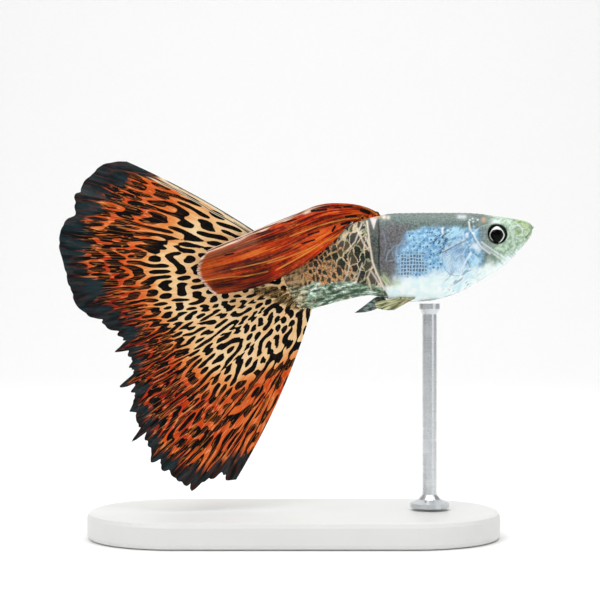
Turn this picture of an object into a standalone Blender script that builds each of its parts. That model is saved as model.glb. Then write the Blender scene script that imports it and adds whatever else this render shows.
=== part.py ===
"""A male fancy guppy, life size, as a still museum model on a rod and a flat base.

The fish is drawn in its own frame: millimetres, nose at the origin, +X ahead, +Y to its left and
+Z up. An empty carries that frame to its place over the base, in metres.
"""

import math

import bmesh
import bpy
import numpy as np
from mathutils import Matrix, Vector

MM = 0.001

# The clearance that neighbouring solids keep between their faces.
GAP = 0.3

# The body is a row of ribs, each a slice seen from the side. Behind the nose, in mm: where the rib
# meets the back and the belly, its half width, and how far down from the back it is widest.
#   back (behind, up)  belly (behind, up)  half width  widest
RIBS = (
    ((0.00, 0.33), (0.00, -0.42), 0.95, 0.45),
    ((0.69, 0.72), (0.69, -1.42), 1.25, 0.42),
    ((1.73, 0.98), (1.73, -2.68), 1.60, 0.38),
    ((2.88, 1.18), (2.88, -3.92), 1.95, 0.34),
    ((4.25, 1.36), (4.25, -4.86), 2.30, 0.33),
    ((6.21, 1.62), (6.21, -6.04), 2.60, 0.38),
    ((8.51, 1.72), (8.51, -7.28), 2.85, 0.45),
    ((11.04, 1.72), (11.04, -8.06), 2.95, 0.50),
    ((13.70, 1.70), (13.70, -8.28), 2.85, 0.50),
    ((16.33, 1.60), (15.99, -8.02), 2.55, 0.48),
    ((19.09, 0.98), (18.40, -7.59), 2.15, 0.46),
    ((21.97, 0.00), (20.93, -8.05), 1.80, 0.46),
    ((25.00, -1.55), (23.10, -8.62), 1.45, 0.48),
    ((27.90, -3.05), (25.20, -9.30), 1.00, 0.50),
)
NOSE_ROUNDING = 0.8
BACK_SQUARENESS = 2.3
BELLY_SQUARENESS = 2.0

# Where the body is parted, measured behind the nose, and its faceting.
HEAD_END = 7.35
TRUNK_END = 21.15
BODY_SIDES = 44
HEAD_RINGS = 30
TRUNK_RINGS = 18
STEM_RINGS = 8

# The eye is a flattened ball, and its socket is one clearance wider.
EYE_CENTRE = (4.37, 1.70, -0.76)
EYE_HALF = (1.05, 0.80, 1.00)
EYE_RIM = 0.10

# The gill cover is an oval plate that stands proud of the trunk at its rear edge.
GILL_CENTRE = (4.90, -2.60)
GILL_HALF = (3.10, 3.00)
GILL_LIFT = 0.24

# The mouth is a wedge-shaped cleft that slopes down and back from the nose.
MOUTH_FRONT = (-0.25, 0.12)
MOUTH_CORNER = (1.15, -1.22)
MOUTH_GAPE = 0.26
LIP_LIFT = 0.11
LIP_WIDTH = 0.26
NOSTRILS = ((1.75, 0.62), (2.35, 0.80))
NOSTRIL_RADIUS = 0.16

# The tail fin is a fan. Angles are above the line straight back, and its reach is measured from a
# focus inside the stem. The teeth are ray tips that stand proud of the torn membrane.
TAIL_FOCUS = (25.76, -4.95)
TAIL_TOP_ANGLE = 32.0
TAIL_LOW_ANGLE = -71.9
TAIL_TOP_BEND = 6.0
TAIL_LOW_BEND = -7.5
TAIL_REACH = (
    (32.0, 23.6), (29.6, 25.2), (26.2, 26.4), (22.9, 26.9), (19.9, 27.0), (19.0, 27.3),
    (16.4, 27.0), (13.9, 26.5), (12.6, 27.1), (7.5, 27.5), (2.0, 26.7), (-6.4, 25.8), (-9.3, 25.3),
    (-13.4, 23.8), (-17.8, 22.2), (-22.0, 21.8), (-27.0, 22.0), (-33.0, 23.8), (-38.0, 24.1),
    (-43.5, 25.5), (-48.4, 26.1), (-54.0, 27.0), (-61.0, 27.1), (-65.2, 25.7), (-71.9, 24.3),
)
TAIL_TEETH = (
    (-22.9, 1.3), (-31.7, 1.2), (-38.6, 0.8), (-44.5, 1.6), (-51.2, 1.0), (-57.0, 0.5), (-62.9, 0.7),
)
TAIL_PLEATS = (20.2, 13.3)
PLEAT_DEPTH = 0.55
PLEAT_WIDTH = 1.2
TAIL_WAVES = 1.9
TAIL_WAVE_DEPTH = 0.9
TAIL_RAYS = 22
TAIL_ROWS = 16
TAIL_ROOT_HALF = 0.55

# The dorsal fin has long rays that sweep back and lean over the right flank. Its front and rear
# rays are drawn as cubic curves of four points, behind the nose and up.
DORSAL_FRONT = ((17.4, 1.40), (21.2, 4.20), (27.0, 1.50), (36.6, -2.50))
DORSAL_REAR = ((20.3, 0.90), (21.6, -0.90), (27.5, -7.20), (35.9, -7.40))
DORSAL_BULGE = 1.5
DORSAL_HUMP = (0.32, 24.0, 2.4)
DORSAL_STALK = (0.15, 0.60)
DORSAL_LEAN = 2.3
DORSAL_RAYS = 9
DORSAL_ROWS = 14
DORSAL_ROOT_HALF = 0.42

FIN_HALF = 0.25
FIN_TIP_HALF = 0.12
RAY_RIDGE = 0.10

# Each paired fin is a small fan on the flank: root, length, and the spread of its rays.
PECTORAL_ROOT = (7.95, -2.00)
PECTORAL_ROOT_HEIGHT = 1.00
PECTORAL_LENGTH = 4.2
PECTORAL_ANGLES = (-26.0, -80.0)
PECTORAL_FLARE = 26.0
PECTORAL_RAYS = 7
PELVIC_ROOT = (14.3, -7.85)
PELVIC_ROOT_LENGTH = 1.80
PELVIC_LENGTH = 3.5
PELVIC_ANGLES = (-8.0, -30.0)
PELVIC_SPLAY = -10.0
PELVIC_SLACK = 0.15
PELVIC_RAYS = 4

# The male's anal fin is a narrow blade, rooted along the belly, swept back and pointed at the end.
ROD_FIN_LINE = ((17.2, -8.22), (17.7, -8.75), (20.1, -9.5))
ROD_FIN_ROOT_SLOPE = 0.24
ROD_FIN_SIDES = 12
ROD_FIN_RINGS = 11
ROD_FIN_THICK = (0.30, 0.50)

# The stand, in mm about the middle of the base's underside.
NOSE_AHEAD = 26.9
BASE_LENGTH = 46.0
BASE_WIDTH = 22.0
BASE_THICK = 3.0
BASE_CORNER = 10.5
BASE_EDGE = 0.6
BASE_SIDES = 48
TAIL_CLEARANCE = 2.2
ROD_AHEAD = 15.2
ROD_RADIUS = 0.80
ROD_FOOT_RADIUS = 2.2
ROD_FOOT_HEIGHT = 0.9
ROD_PAD_RADIUS = 1.15
ROD_PAD_HEIGHT = 0.6
ROD_SIDES = 24


def smooth_step(value):
    """0 below 0, 1 above 1, and an even rise between."""
    value = min(1.0, max(0.0, value))
    return value * value * (3.0 - 2.0 * value)


def mix(first, second, share):
    return first + (second - first) * share


def through(places, values, place):
    """A smooth curve through the values, read at one place. It never swings past two neighbours."""
    places = np.asarray(places, float)
    values = np.asarray(values, float)
    slopes = np.diff(values) / np.diff(places)
    tangents = np.concatenate(([slopes[0]], (slopes[:-1] + slopes[1:]) / 2, [slopes[-1]]))
    flat = slopes[:-1] * slopes[1:] <= 0
    tangents[1:-1][flat] = 0.0
    index = int(np.clip(np.searchsorted(places, place) - 1, 0, len(places) - 2))
    width = places[index + 1] - places[index]
    share = min(1.0, max(0.0, (place - places[index]) / width))
    cube, square = share ** 3, share ** 2
    return float(
        (2 * cube - 3 * square + 1) * values[index]
        + (cube - 2 * square + share) * width * tangents[index]
        + (3 * square - 2 * cube) * values[index + 1]
        + (cube - square) * width * tangents[index + 1]
    )


def cubic(points, share):
    """A point on the cubic curve of four points."""
    rest = 1.0 - share
    weights = (rest ** 3, 3 * rest * rest * share, 3 * rest * share * share, share ** 3)
    return tuple(sum(w * p[axis] for w, p in zip(weights, points)) for axis in (0, 1))


RIB_PLACES = [(back[0] + belly[0]) / 2 for back, belly, _, _ in RIBS]


def rib(place):
    """The back point, belly point, half width and widest share of the body, at a place behind the nose."""
    numbers = [(*back, *belly, width, widest) for back, belly, width, widest in RIBS]
    read = [through(RIB_PLACES, column, place) for column in zip(*numbers)]
    return (read[0], read[1]), (read[2], read[3]), read[4], read[5]


def relief(behind, up):
    """How far the gill cover, the rim of the eye and the lips stand proud of the plain head."""
    if behind > HEAD_END + GAP / 2:
        return 0.0
    reach = math.hypot((behind - GILL_CENTRE[0]) / GILL_HALF[0], (up - GILL_CENTRE[1]) / GILL_HALF[1])
    gill = GILL_LIFT * smooth_step((1.0 - reach) / 0.14) * smooth_step((behind - 3.6) / 2.2)
    around = math.hypot(behind - EYE_CENTRE[0], up - EYE_CENTRE[2])
    rim = EYE_RIM * math.exp(-(((around - EYE_HALF[0] - GAP) / 0.3) ** 2))
    along = Vector(MOUTH_CORNER) - Vector(MOUTH_FRONT)
    from_front = Vector((behind, up)) - Vector(MOUTH_FRONT)
    share = from_front.dot(along) / along.length_squared
    aside = abs(from_front.cross(along)) / along.length
    lip = LIP_LIFT * math.exp(-(((aside - LIP_WIDTH) / 0.2) ** 2)) * smooth_step((1.15 - share) / 0.3)
    return gill + rim + lip


def body_point(place, angle):
    """A point of the skin, in the fish's frame. The angle runs round the rib, 90 degrees at the back."""
    back, belly, half_width, widest = rib(place)
    rounding = math.sqrt(1.0 - (1.0 - min(1.0, place / NOSE_ROUNDING)) ** 2)
    middle = (mix(back[0], belly[0], widest), mix(back[1], belly[1], widest))
    rise, across = math.sin(angle), math.cos(angle)
    end, squareness = (back, BACK_SQUARENESS) if rise >= 0 else (belly, BELLY_SQUARENESS)
    height = abs(rise) ** (2 / squareness) * rounding
    side = math.copysign(abs(across) ** (2 / squareness), across) * half_width * rounding
    behind = mix(middle[0], end[0], height)
    up = mix(middle[1], end[1], height)
    outward = Vector((0.0, side, up - middle[1]))
    point = Vector((-behind, side, up))
    if outward.length > 1e-6:
        point += outward.normalized() * relief(behind, up) * abs(across) ** 0.5
    return point


def rib_beside(behind, up):
    """The rib that passes through a point of the side view, with its height in that view."""
    place = behind
    for _ in range(4):
        back, belly, half_width, widest = rib(min(place, RIB_PLACES[-1]))
        drop = (back[1] - up) / (back[1] - belly[1])
        place += behind - mix(back[0], belly[0], min(1.0, max(0.0, drop)))
    return back[1], belly[1], half_width, mix(back[1], belly[1], widest)


def flank(behind, up):
    """The half width of the body beside a point of the side view."""
    top, low, half_width, middle = rib_beside(behind, up)
    off_middle = (up - middle) / (top - middle) if up > middle else (middle - up) / (middle - low)
    squareness = BACK_SQUARENESS if up > middle else BELLY_SQUARENESS
    return half_width * (1.0 - min(1.0, off_middle) ** squareness) ** (1 / squareness)


def moved_clear(behind, side, up, clearance):
    """A point over the rear body, moved out from the rib's middle until it has this clearance."""
    top, low, half_width, middle = rib_beside(behind, up)
    half_height = (top - middle if up > middle else middle - low) + clearance
    reach = math.hypot(side / (half_width + clearance), (up - middle) / half_height)
    if behind > RIB_PLACES[-1] + 1.5 or reach >= 1.0:
        return (-behind, side, up)
    return (-behind, side / reach, middle + (up - middle) / reach)


def material(name, colour, roughness, metallic=0.0):
    made = bpy.data.materials.new(name)
    made.use_nodes = True
    shader = made.node_tree.nodes["Principled BSDF"]
    shader.inputs["Base Color"].default_value = (*colour, 1.0)
    shader.inputs["Roughness"].default_value = roughness
    shader.inputs["Metallic"].default_value = metallic
    return made


def add_object(name, mesh, finish, parent=None):
    """A named object in the scene, shaded smooth away from its sharp edges."""
    made = bpy.data.objects.new(name, mesh)
    bpy.context.scene.collection.objects.link(made)
    mesh.materials.append(finish)
    mesh.shade_smooth()
    mesh.set_sharp_from_angle(angle=math.radians(40))
    made.parent = parent
    return made


def mesh_of(name, points, faces):
    """A mesh from points in millimetres, with all its faces turned outwards."""
    mesh = bpy.data.meshes.new(name)
    mesh.from_pydata([Vector(p) * MM for p in points], [], faces)
    shape = bmesh.new()
    shape.from_mesh(mesh)
    bmesh.ops.recalc_face_normals(shape, faces=shape.faces)
    bmesh.ops.triangulate(shape, faces=[f for f in shape.faces if len(f.verts) > 3])
    shape.to_mesh(mesh)
    shape.free()
    return mesh


def tube(rings, pole_at_start=False, pole_at_end=False):
    """Points and faces of a closed tube through rings of equal count. An end is a point or a flat cap."""
    sides = len(rings[0])
    points = [p for ring in rings for p in ring]
    faces = [
        (i * sides + j, i * sides + (j + 1) % sides, (i + 1) * sides + (j + 1) % sides, (i + 1) * sides + j)
        for i in range(len(rings) - 1)
        for j in range(sides)
    ]
    for row, wanted in ((0, pole_at_start), (len(rings) - 1, pole_at_end)):
        ring = [row * sides + j for j in range(sides)]
        points.append(sum((Vector(points[k]) for k in ring), Vector()) / sides)
        if wanted is not False:
            points[-1] = wanted
        faces += [(ring[j], ring[(j + 1) % sides], len(points) - 1) for j in range(sides)]
    return points, faces


def body_length(name, first, last, rings, finish, fish, crowding=1.0):
    """A length of the body between two places behind the nose, with a flat cut at each end."""
    step = 2 * math.pi / BODY_SIDES
    places = [mix(first, last, (i / (rings - 1)) ** crowding) for i in range(rings)]
    shape = [[body_point(place, k * step) for k in range(BODY_SIDES)] for place in places]
    return add_object(name, mesh_of(name, *tube(shape)), finish, fish)


def cutter(name, mesh):
    """A hidden shape that a Boolean takes away."""
    made = bpy.data.objects.new(name, mesh)
    bpy.context.scene.collection.objects.link(made)
    made.hide_render = True
    made.display_type = "WIRE"
    return made


def ball(name, centre, halves, segments, rings):
    """A mesh of an egg-shaped ball, in the fish's frame."""
    shape = bmesh.new()
    bmesh.ops.create_uvsphere(shape, u_segments=segments, v_segments=rings, radius=1.0)
    poles_sideways = Matrix.Rotation(math.pi / 2, 4, "X")
    place = Matrix.Translation(Vector(centre) * MM) @ Matrix.Diagonal((*(Vector(halves) * MM), 1.0))
    bmesh.ops.transform(shape, matrix=place @ poles_sideways, verts=shape.verts)
    mesh = bpy.data.meshes.new(name)
    shape.to_mesh(mesh)
    shape.free()
    return mesh


def subtract(target, tool):
    """Cuts the tool from the target when the model is evaluated."""
    tool.parent = target.parent
    cut = target.modifiers.new(tool.name, "BOOLEAN")
    cut.operation = "DIFFERENCE"
    cut.object = tool
    cut.solver = "EXACT"


def head(finish, fish):
    """The head: gill covers, lips and eye rims are raised, and mouth, nostrils and sockets are cut in."""
    step = 2 * math.pi / BODY_SIDES
    places = [0.03 + (HEAD_END - 0.03) * (i / (HEAD_RINGS - 1)) ** 1.45 for i in range(HEAD_RINGS)]
    shape = [[body_point(place, k * step) for k in range(BODY_SIDES)] for place in places]
    made = add_object("head", mesh_of("head", *tube(shape)), finish, fish)
    along = (Vector(MOUTH_CORNER) - Vector(MOUTH_FRONT)).normalized()
    aside = Vector((-along.y, along.x)) * MOUTH_GAPE / 2
    section = [Vector(MOUTH_FRONT) + aside, Vector(MOUTH_FRONT) - aside, Vector(MOUTH_CORNER)]
    wedge = [(-p.x, side, p.y) for side in (-3.0, 3.0) for p in section]
    faces = [(0, 1, 2), (3, 4, 5), (0, 1, 4, 3), (1, 2, 5, 4), (2, 0, 3, 5)]
    subtract(made, cutter("mouth_cut", mesh_of("mouth_cut", wedge, faces)))
    for side, word in ((1, "left"), (-1, "right")):
        centre = (-EYE_CENTRE[0], side * EYE_CENTRE[1], EYE_CENTRE[2])
        socket = ball("socket_" + word, centre, [half + GAP for half in EYE_HALF], 20, 12)
        subtract(made, cutter("socket_cut_" + word, socket))
        for number, (behind, up) in enumerate(NOSTRILS):
            reach = side * flank(behind, up)
            pit = ball("nostril", (-behind, reach, up), [NOSTRIL_RADIUS] * 3, 10, 6)
            subtract(made, cutter(f"nostril_cut_{word}_{number}", pit))


def eye(side, word, finish, fish):
    centre = (-EYE_CENTRE[0], side * EYE_CENTRE[1], EYE_CENTRE[2])
    add_object("eye_" + word, ball("eye_" + word, centre, EYE_HALF, 18, 10), finish, fish)


def plate(name, columns, rows, middle, half_thickness, finish, parent):
    """A thin closed fin. middle(u, v) is its middle surface, from root to tip as v grows. Both faces
    stand off it by the half thickness, and are split into triangles alike."""
    grid = np.array([[middle(i / columns, j / rows) for j in range(rows + 1)] for i in range(columns + 1)])
    normals = np.cross(np.gradient(grid, axis=0), np.gradient(grid, axis=1))
    normals /= np.linalg.norm(normals, axis=2, keepdims=True)
    halves = np.array(
        [[half_thickness(i / columns, j / rows) for j in range(rows + 1)] for i in range(columns + 1)]
    )
    shift = normals * halves[:, :, None]
    points = np.concatenate([(grid + shift).reshape(-1, 3), (grid - shift).reshape(-1, 3)])
    count = (columns + 1) * (rows + 1)
    number = np.arange(count).reshape(columns + 1, rows + 1)
    faces = []
    for i in range(columns):
        for j in range(rows):
            a, b, c, d = number[i, j], number[i + 1, j], number[i + 1, j + 1], number[i, j + 1]
            for corners in ((a, b, c), (a, c, d)):
                faces.append(corners)
                faces.append(tuple(k + count for k in reversed(corners)))
    rim = [*number[:, 0], *number[-1, 1:], *number[-2::-1, -1], *number[0, -2:0:-1]]
    for a, b in zip(rim, rim[1:] + rim[:1]):
        faces.append((a, b, b + count))
        faces.append((a, b + count, a + count))
    mesh = mesh_of(name, points.tolist(), [tuple(int(k) for k in face) for face in faces])
    return add_object(name, mesh, finish, parent)


def ray_ridge(u, v, rays, fork):
    """1 on a fin ray and 0 between rays. Past the fork each ray is two."""
    place = (u * rays) % 1.0
    single = max(0.0, 1.0 - abs(place - 0.5) / 0.25)
    twin = max(0.0, 1.0 - min(abs(place - 0.25), abs(place - 0.75)) / 0.25)
    return mix(single, twin, smooth_step((v - fork) / 0.15))


def fin_half(u, v, root_half, rays, fork=0.45):
    """Half the thickness of a fin: thick at the root, even over the web, thin at the tip."""
    root = mix(FIN_HALF, root_half, smooth_step(min(u, 1.0 - u) / 0.15))
    web = mix(root, FIN_HALF, smooth_step(v / 0.12))
    web = mix(web, FIN_TIP_HALF, smooth_step((v - 0.7) / 0.3))
    return web + RAY_RIDGE * ray_ridge(u, v, rays, fork) * smooth_step(v / 0.1) * (1.0 - 0.6 * v)


def tail_reach(angle):
    """How far the tail fin reaches from its focus at an angle: a smooth edge with teeth on it."""
    angles, reaches = zip(*reversed(TAIL_REACH))
    column = (TAIL_TOP_ANGLE - TAIL_LOW_ANGLE) / (TAIL_RAYS * 4)
    teeth = 0.0
    for place, height in TAIL_TEETH:
        nearest = TAIL_TOP_ANGLE - column * round((TAIL_TOP_ANGLE - place) / column)
        teeth += height * max(0.0, 1.0 - abs(angle - nearest) / column)
    return through(angles, reaches, angle) + teeth


def tail_middle(u, v):
    """The tail fin's middle surface. u runs from the top ray to the lowest, v from root to edge."""
    back, belly, _, _ = RIBS[-1]
    down = (Vector(belly) - Vector(back)).normalized()
    off_stem = Vector((-down.y, down.x)) * GAP
    root = Vector(back).lerp(Vector(belly), mix(0.02, 0.98, u)) + off_stem
    angle = math.radians(mix(TAIL_TOP_ANGLE, TAIL_LOW_ANGLE, u))
    tip = Vector(TAIL_FOCUS) + Vector((math.cos(angle), math.sin(angle))) * tail_reach(math.degrees(angle))
    chord = tip - root
    turn = math.radians(mix(TAIL_TOP_BEND, TAIL_LOW_BEND, u))
    knee = root + Matrix.Rotation(turn, 2) @ chord / 2
    flat = root * (1 - v) ** 2 + knee * 2 * v * (1 - v) + tip * v * v
    wave = TAIL_WAVE_DEPTH * math.sin(2 * math.pi * TAIL_WAVES * u + 0.6) * v ** 1.7
    steps = sum(math.tanh((math.degrees(angle) - place) / PLEAT_WIDTH) for place in TAIL_PLEATS)
    return (-flat.x, wave + PLEAT_DEPTH * steps * v ** 5, flat.y)


def dorsal_middle(u, v):
    """The dorsal fin's middle surface. u runs from the front ray to the rear one, v from root to edge."""
    ray = [
        (mix(front[0], rear[0], u), mix(front[1], rear[1], u))
        for front, rear in zip(DORSAL_FRONT, DORSAL_REAR)
    ]
    root_up = rib_beside(ray[0][0], ray[0][1])[0] + GAP
    if v == 0.0:
        return (-ray[0][0], 0.0, root_up)
    ray[0] = (ray[0][0], root_up + mix(*DORSAL_STALK, u))
    ray[3] = (ray[3][0] + DORSAL_BULGE * math.sin(math.pi * u), ray[3][1])
    share = (v - 1 / DORSAL_ROWS) / (1 - 1 / DORSAL_ROWS)
    behind, up = cubic(ray, share)
    up += DORSAL_HUMP[0] * (1.0 - u) * math.exp(-(((behind - DORSAL_HUMP[1]) / DORSAL_HUMP[2]) ** 2))
    lean = DORSAL_LEAN * mix(0.6, 1.0, u) * (1.0 - (1.0 - share) ** mix(1.6, 4.0, u))
    ripple = 0.22 * math.sin(2 * math.pi * (2.3 * u + 0.2)) * share
    return moved_clear(behind, ripple - lean, up, GAP + FIN_HALF + RAY_RIDGE + 0.15)


def fan_middle(root, spread, length, angles, flare, side):
    """The middle surface of a small paired fin, whose rays fan out and back from a short root."""

    def middle(u, v):
        angle = math.radians(mix(angles[0], angles[1], u))
        reach = length * v * (0.78 + 0.22 * math.sin(math.pi * u))
        start = Vector(root) + Vector(spread) * (u - 0.5)
        aside = math.sin(math.radians(flare)) * reach * side
        back = math.cos(math.radians(flare)) * reach
        return (start.x - back * math.cos(angle), start.y + aside, start.z + back * math.sin(angle))

    return middle


def pectoral_fin(side, word, finish, fish):
    behind, up = PECTORAL_ROOT
    start = (-behind, side * (flank(behind, up) + GAP + FIN_HALF), up)
    spread = (0, 0, -PECTORAL_ROOT_HEIGHT)
    middle = fan_middle(start, spread, PECTORAL_LENGTH, PECTORAL_ANGLES, PECTORAL_FLARE, side)

    def half(u, v):
        return fin_half(u, v, FIN_HALF, PECTORAL_RAYS, 0.5)

    plate("pectoral_fin_" + word, PECTORAL_RAYS * 2, 6, middle, half, finish, fish)


def pelvic_fin(side, word, finish, fish):
    behind, up = PELVIC_ROOT
    start = (-behind, side * (flank(behind, up) + GAP + FIN_HALF + PELVIC_SLACK), up)
    spread = (-PELVIC_ROOT_LENGTH, 0, 0)
    middle = fan_middle(start, spread, PELVIC_LENGTH, PELVIC_ANGLES[::-1], PELVIC_SPLAY, side)

    def half(u, v):
        return fin_half(u, v, FIN_HALF, PELVIC_RAYS, 0.5)

    plate("pelvic_fin_" + word, PELVIC_RAYS * 2, 6, middle, half, finish, fish)


def anal_fin(finish, fish):
    """The rod-like anal fin: a curved, flattened tube, cut along the belly at its root."""
    first, knee, last = (Vector(point) for point in ROD_FIN_LINE)
    along_belly = Vector((1.0, ROD_FIN_ROOT_SLOPE)).normalized()
    rings = []
    for i in range(ROD_FIN_RINGS):
        share = i / ROD_FIN_RINGS
        centre = first * (1 - share) ** 2 + knee * 2 * share * (1 - share) + last * share ** 2
        along = ((knee - first) * (1 - share) + (last - knee) * share).normalized()
        across = along_belly.lerp(Vector((-along.y, along.x)), smooth_step(share / 0.3)).normalized()
        full = (1.15 + 0.2 * math.sin(math.pi * share)) * (1 - share ** 3)
        ring = []
        for k in range(ROD_FIN_SIDES):
            angle = 2 * math.pi * k / ROD_FIN_SIDES
            flat = centre + across * ROD_FIN_THICK[1] * full * math.sin(angle)
            ring.append((-flat.x, ROD_FIN_THICK[0] * full * math.cos(angle), flat.y))
        rings.append(ring)
    points, faces = tube(rings, pole_at_end=(-last.x, 0.0, last.y))
    add_object("anal_fin", mesh_of("anal_fin", points, faces), finish, fish)


def stand_base(finish):
    """A flat base with round ends and a softened edge."""
    shape = bmesh.new()
    corners = []
    for k in range(BASE_SIDES):
        angle = 2 * math.pi * (k + 0.5) / BASE_SIDES
        side = math.copysign(BASE_LENGTH / 2 - BASE_CORNER, math.cos(angle))
        front = math.copysign(BASE_WIDTH / 2 - BASE_CORNER, math.sin(angle))
        corners.append((side + BASE_CORNER * math.cos(angle), front + BASE_CORNER * math.sin(angle), 0.0))
    low = [shape.verts.new(Vector(corner) * MM) for corner in corners]
    face = shape.faces.new(low)
    raised = bmesh.ops.extrude_face_region(shape, geom=[face])
    top = [v for v in raised["geom"] if isinstance(v, bmesh.types.BMVert)]
    bmesh.ops.translate(shape, verts=top, vec=(0, 0, BASE_THICK * MM))
    bmesh.ops.recalc_face_normals(shape, faces=shape.faces)
    mesh = bpy.data.meshes.new("stand_base")
    shape.to_mesh(mesh)
    shape.free()
    made = add_object("stand_base", mesh, finish)
    edge = made.modifiers.new("edge", "BEVEL")
    edge.width = BASE_EDGE * MM
    edge.segments = 2
    edge.limit_method = "ANGLE"
    edge.angle_limit = math.radians(50)


def stand_rod(top, finish):
    """A turned rod with a foot on the base and a small pad under the belly."""
    low = BASE_THICK + GAP
    profile = (
        (ROD_FOOT_RADIUS, low),
        (ROD_FOOT_RADIUS, low + ROD_FOOT_HEIGHT * 0.55),
        (ROD_RADIUS + 0.45, low + ROD_FOOT_HEIGHT),
        (ROD_RADIUS, low + ROD_FOOT_HEIGHT * 1.6),
        (ROD_RADIUS, top - ROD_PAD_HEIGHT * 2),
        (ROD_PAD_RADIUS, top - ROD_PAD_HEIGHT),
        (ROD_PAD_RADIUS, top),
    )
    rings = [
        [
            (
                radius * math.cos(2 * math.pi * k / ROD_SIDES),
                radius * math.sin(2 * math.pi * k / ROD_SIDES),
                height,
            )
            for k in range(ROD_SIDES)
        ]
        for radius, height in profile
    ]
    made = add_object("stand_rod", mesh_of("stand_rod", *tube(rings)), finish)
    made.location.x = ROD_AHEAD * MM


def build():
    for old in list(bpy.data.objects):
        bpy.data.objects.remove(old)
    fish = bpy.data.objects.new("fish", None)
    bpy.context.scene.collection.objects.link(fish)

    silver = material("silver_skin", (0.42, 0.50, 0.52), 0.35)
    netted = material("netted_skin", (0.36, 0.27, 0.16), 0.4)
    stem = material("stem_skin", (0.30, 0.33, 0.22), 0.4)
    iris = material("eye", (0.02, 0.02, 0.02), 0.1)
    orange = material("dorsal_web", (0.55, 0.10, 0.02), 0.45)
    spotted = material("tail_web", (0.60, 0.26, 0.07), 0.45)
    clear = material("clear_web", (0.75, 0.80, 0.78), 0.3)
    dusky = material("dusky_web", (0.10, 0.12, 0.12), 0.45)
    olive = material("pelvic_web", (0.55, 0.50, 0.30), 0.45)
    plastic = material("stand_plastic", (0.62, 0.63, 0.62), 0.4)
    steel = material("stand_steel", (0.62, 0.63, 0.65), 0.3, 1.0)

    head(silver, fish)
    body_length("trunk", HEAD_END + GAP, TRUNK_END, TRUNK_RINGS, netted, fish)
    body_length("tail_stem", TRUNK_END + GAP, RIB_PLACES[-1], STEM_RINGS, stem, fish)

    def tail_half(u, v):
        return fin_half(u, v, TAIL_ROOT_HALF, TAIL_RAYS)

    def dorsal_half(u, v):
        return fin_half(u, v, DORSAL_ROOT_HALF, DORSAL_RAYS)

    tail = plate("tail_fin", TAIL_RAYS * 4, TAIL_ROWS, tail_middle, tail_half, spotted, fish)
    plate("dorsal_fin", DORSAL_RAYS * 4, DORSAL_ROWS, dorsal_middle, dorsal_half, orange, fish)
    anal_fin(dusky, fish)
    for side, word in ((1, "left"), (-1, "right")):
        eye(side, word, iris, fish)
        pectoral_fin(side, word, clear, fish)
        pelvic_fin(side, word, olive, fish)

    tail_drop = min(vertex.co.z for vertex in tail.data.vertices)
    nose_height = BASE_THICK + TAIL_CLEARANCE - tail_drop / MM
    fish.location = Vector((NOSE_AHEAD, 0.0, nose_height)) * MM
    belly_up = rib(NOSE_AHEAD - ROD_AHEAD)[1][1]
    stand_base(plastic)
    stand_rod(nose_height + belly_up - GAP, steel)


build()
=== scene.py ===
"""A male fancy guppy, life size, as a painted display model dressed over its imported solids.

Each section is one piece, in the order the model is put together. A point of the fish is given in
millimetres as (behind the nose, to its left, above the nose) until its mesh is placed in metres.
"""

import math

import bpy
import numpy as np
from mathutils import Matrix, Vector


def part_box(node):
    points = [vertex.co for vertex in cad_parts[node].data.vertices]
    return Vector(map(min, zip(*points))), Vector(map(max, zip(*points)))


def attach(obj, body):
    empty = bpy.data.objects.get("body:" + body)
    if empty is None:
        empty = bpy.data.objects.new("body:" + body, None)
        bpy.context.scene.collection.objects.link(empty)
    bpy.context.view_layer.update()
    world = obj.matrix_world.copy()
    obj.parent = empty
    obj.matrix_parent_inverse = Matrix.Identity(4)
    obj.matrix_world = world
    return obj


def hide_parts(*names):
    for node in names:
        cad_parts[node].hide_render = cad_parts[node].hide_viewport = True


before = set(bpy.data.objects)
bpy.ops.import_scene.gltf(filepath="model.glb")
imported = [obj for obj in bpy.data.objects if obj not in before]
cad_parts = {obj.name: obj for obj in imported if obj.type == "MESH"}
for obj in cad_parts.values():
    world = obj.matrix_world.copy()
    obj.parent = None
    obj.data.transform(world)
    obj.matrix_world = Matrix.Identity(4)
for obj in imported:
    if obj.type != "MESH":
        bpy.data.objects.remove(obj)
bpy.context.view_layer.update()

MM = 0.001

# Stand base
# A slab of pale satin plastic that carries the fish, moulded in one piece with round ends and a
# softened edge. It lies flat on the shelf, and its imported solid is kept.


def srgb(red, green, blue):
    """A colour as it looks on screen, 0 to 255, in the units that shaders use."""
    light = [c / 255 for c in (red, green, blue)]
    return (*(c / 12.92 if c < 0.04045 else ((c + 0.055) / 1.055) ** 2.4 for c in light), 1.0)


def feed(tree, socket, value):
    """Links a socket to another, or sets its value."""
    if isinstance(value, bpy.types.NodeSocket):
        tree.links.new(value, socket)
    elif value is not None:
        socket.default_value = value


def give(shader, name, value):
    """Feeds one input of a shader."""
    feed(shader.id_data, shader.inputs[name], value)


def node(tree, kind, inputs, **settings):
    """Adds a node, sets it up and feeds its inputs, which are named or numbered."""
    made = tree.nodes.new(kind)
    for name, value in settings.items():
        setattr(made, name, value)
    for key, value in inputs.items():
        feed(tree, made.inputs[key], value)
    return made


def maths(tree, operation, first, second=None, third=None):
    return node(tree, "ShaderNodeMath", {0: first, 1: second, 2: third}, operation=operation).outputs[0]


def times(tree, first, second):
    return maths(tree, "MULTIPLY", first, second)


def ramp(tree, value, low, high, start=0.0, end=1.0):
    """A smooth rise from start to end as the value goes from low to high."""
    inputs = {"Value": value, "From Min": low, "From Max": high, "To Min": start, "To Max": end}
    return node(tree, "ShaderNodeMapRange", inputs, interpolation_type="SMOOTHSTEP").outputs[0]


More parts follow.
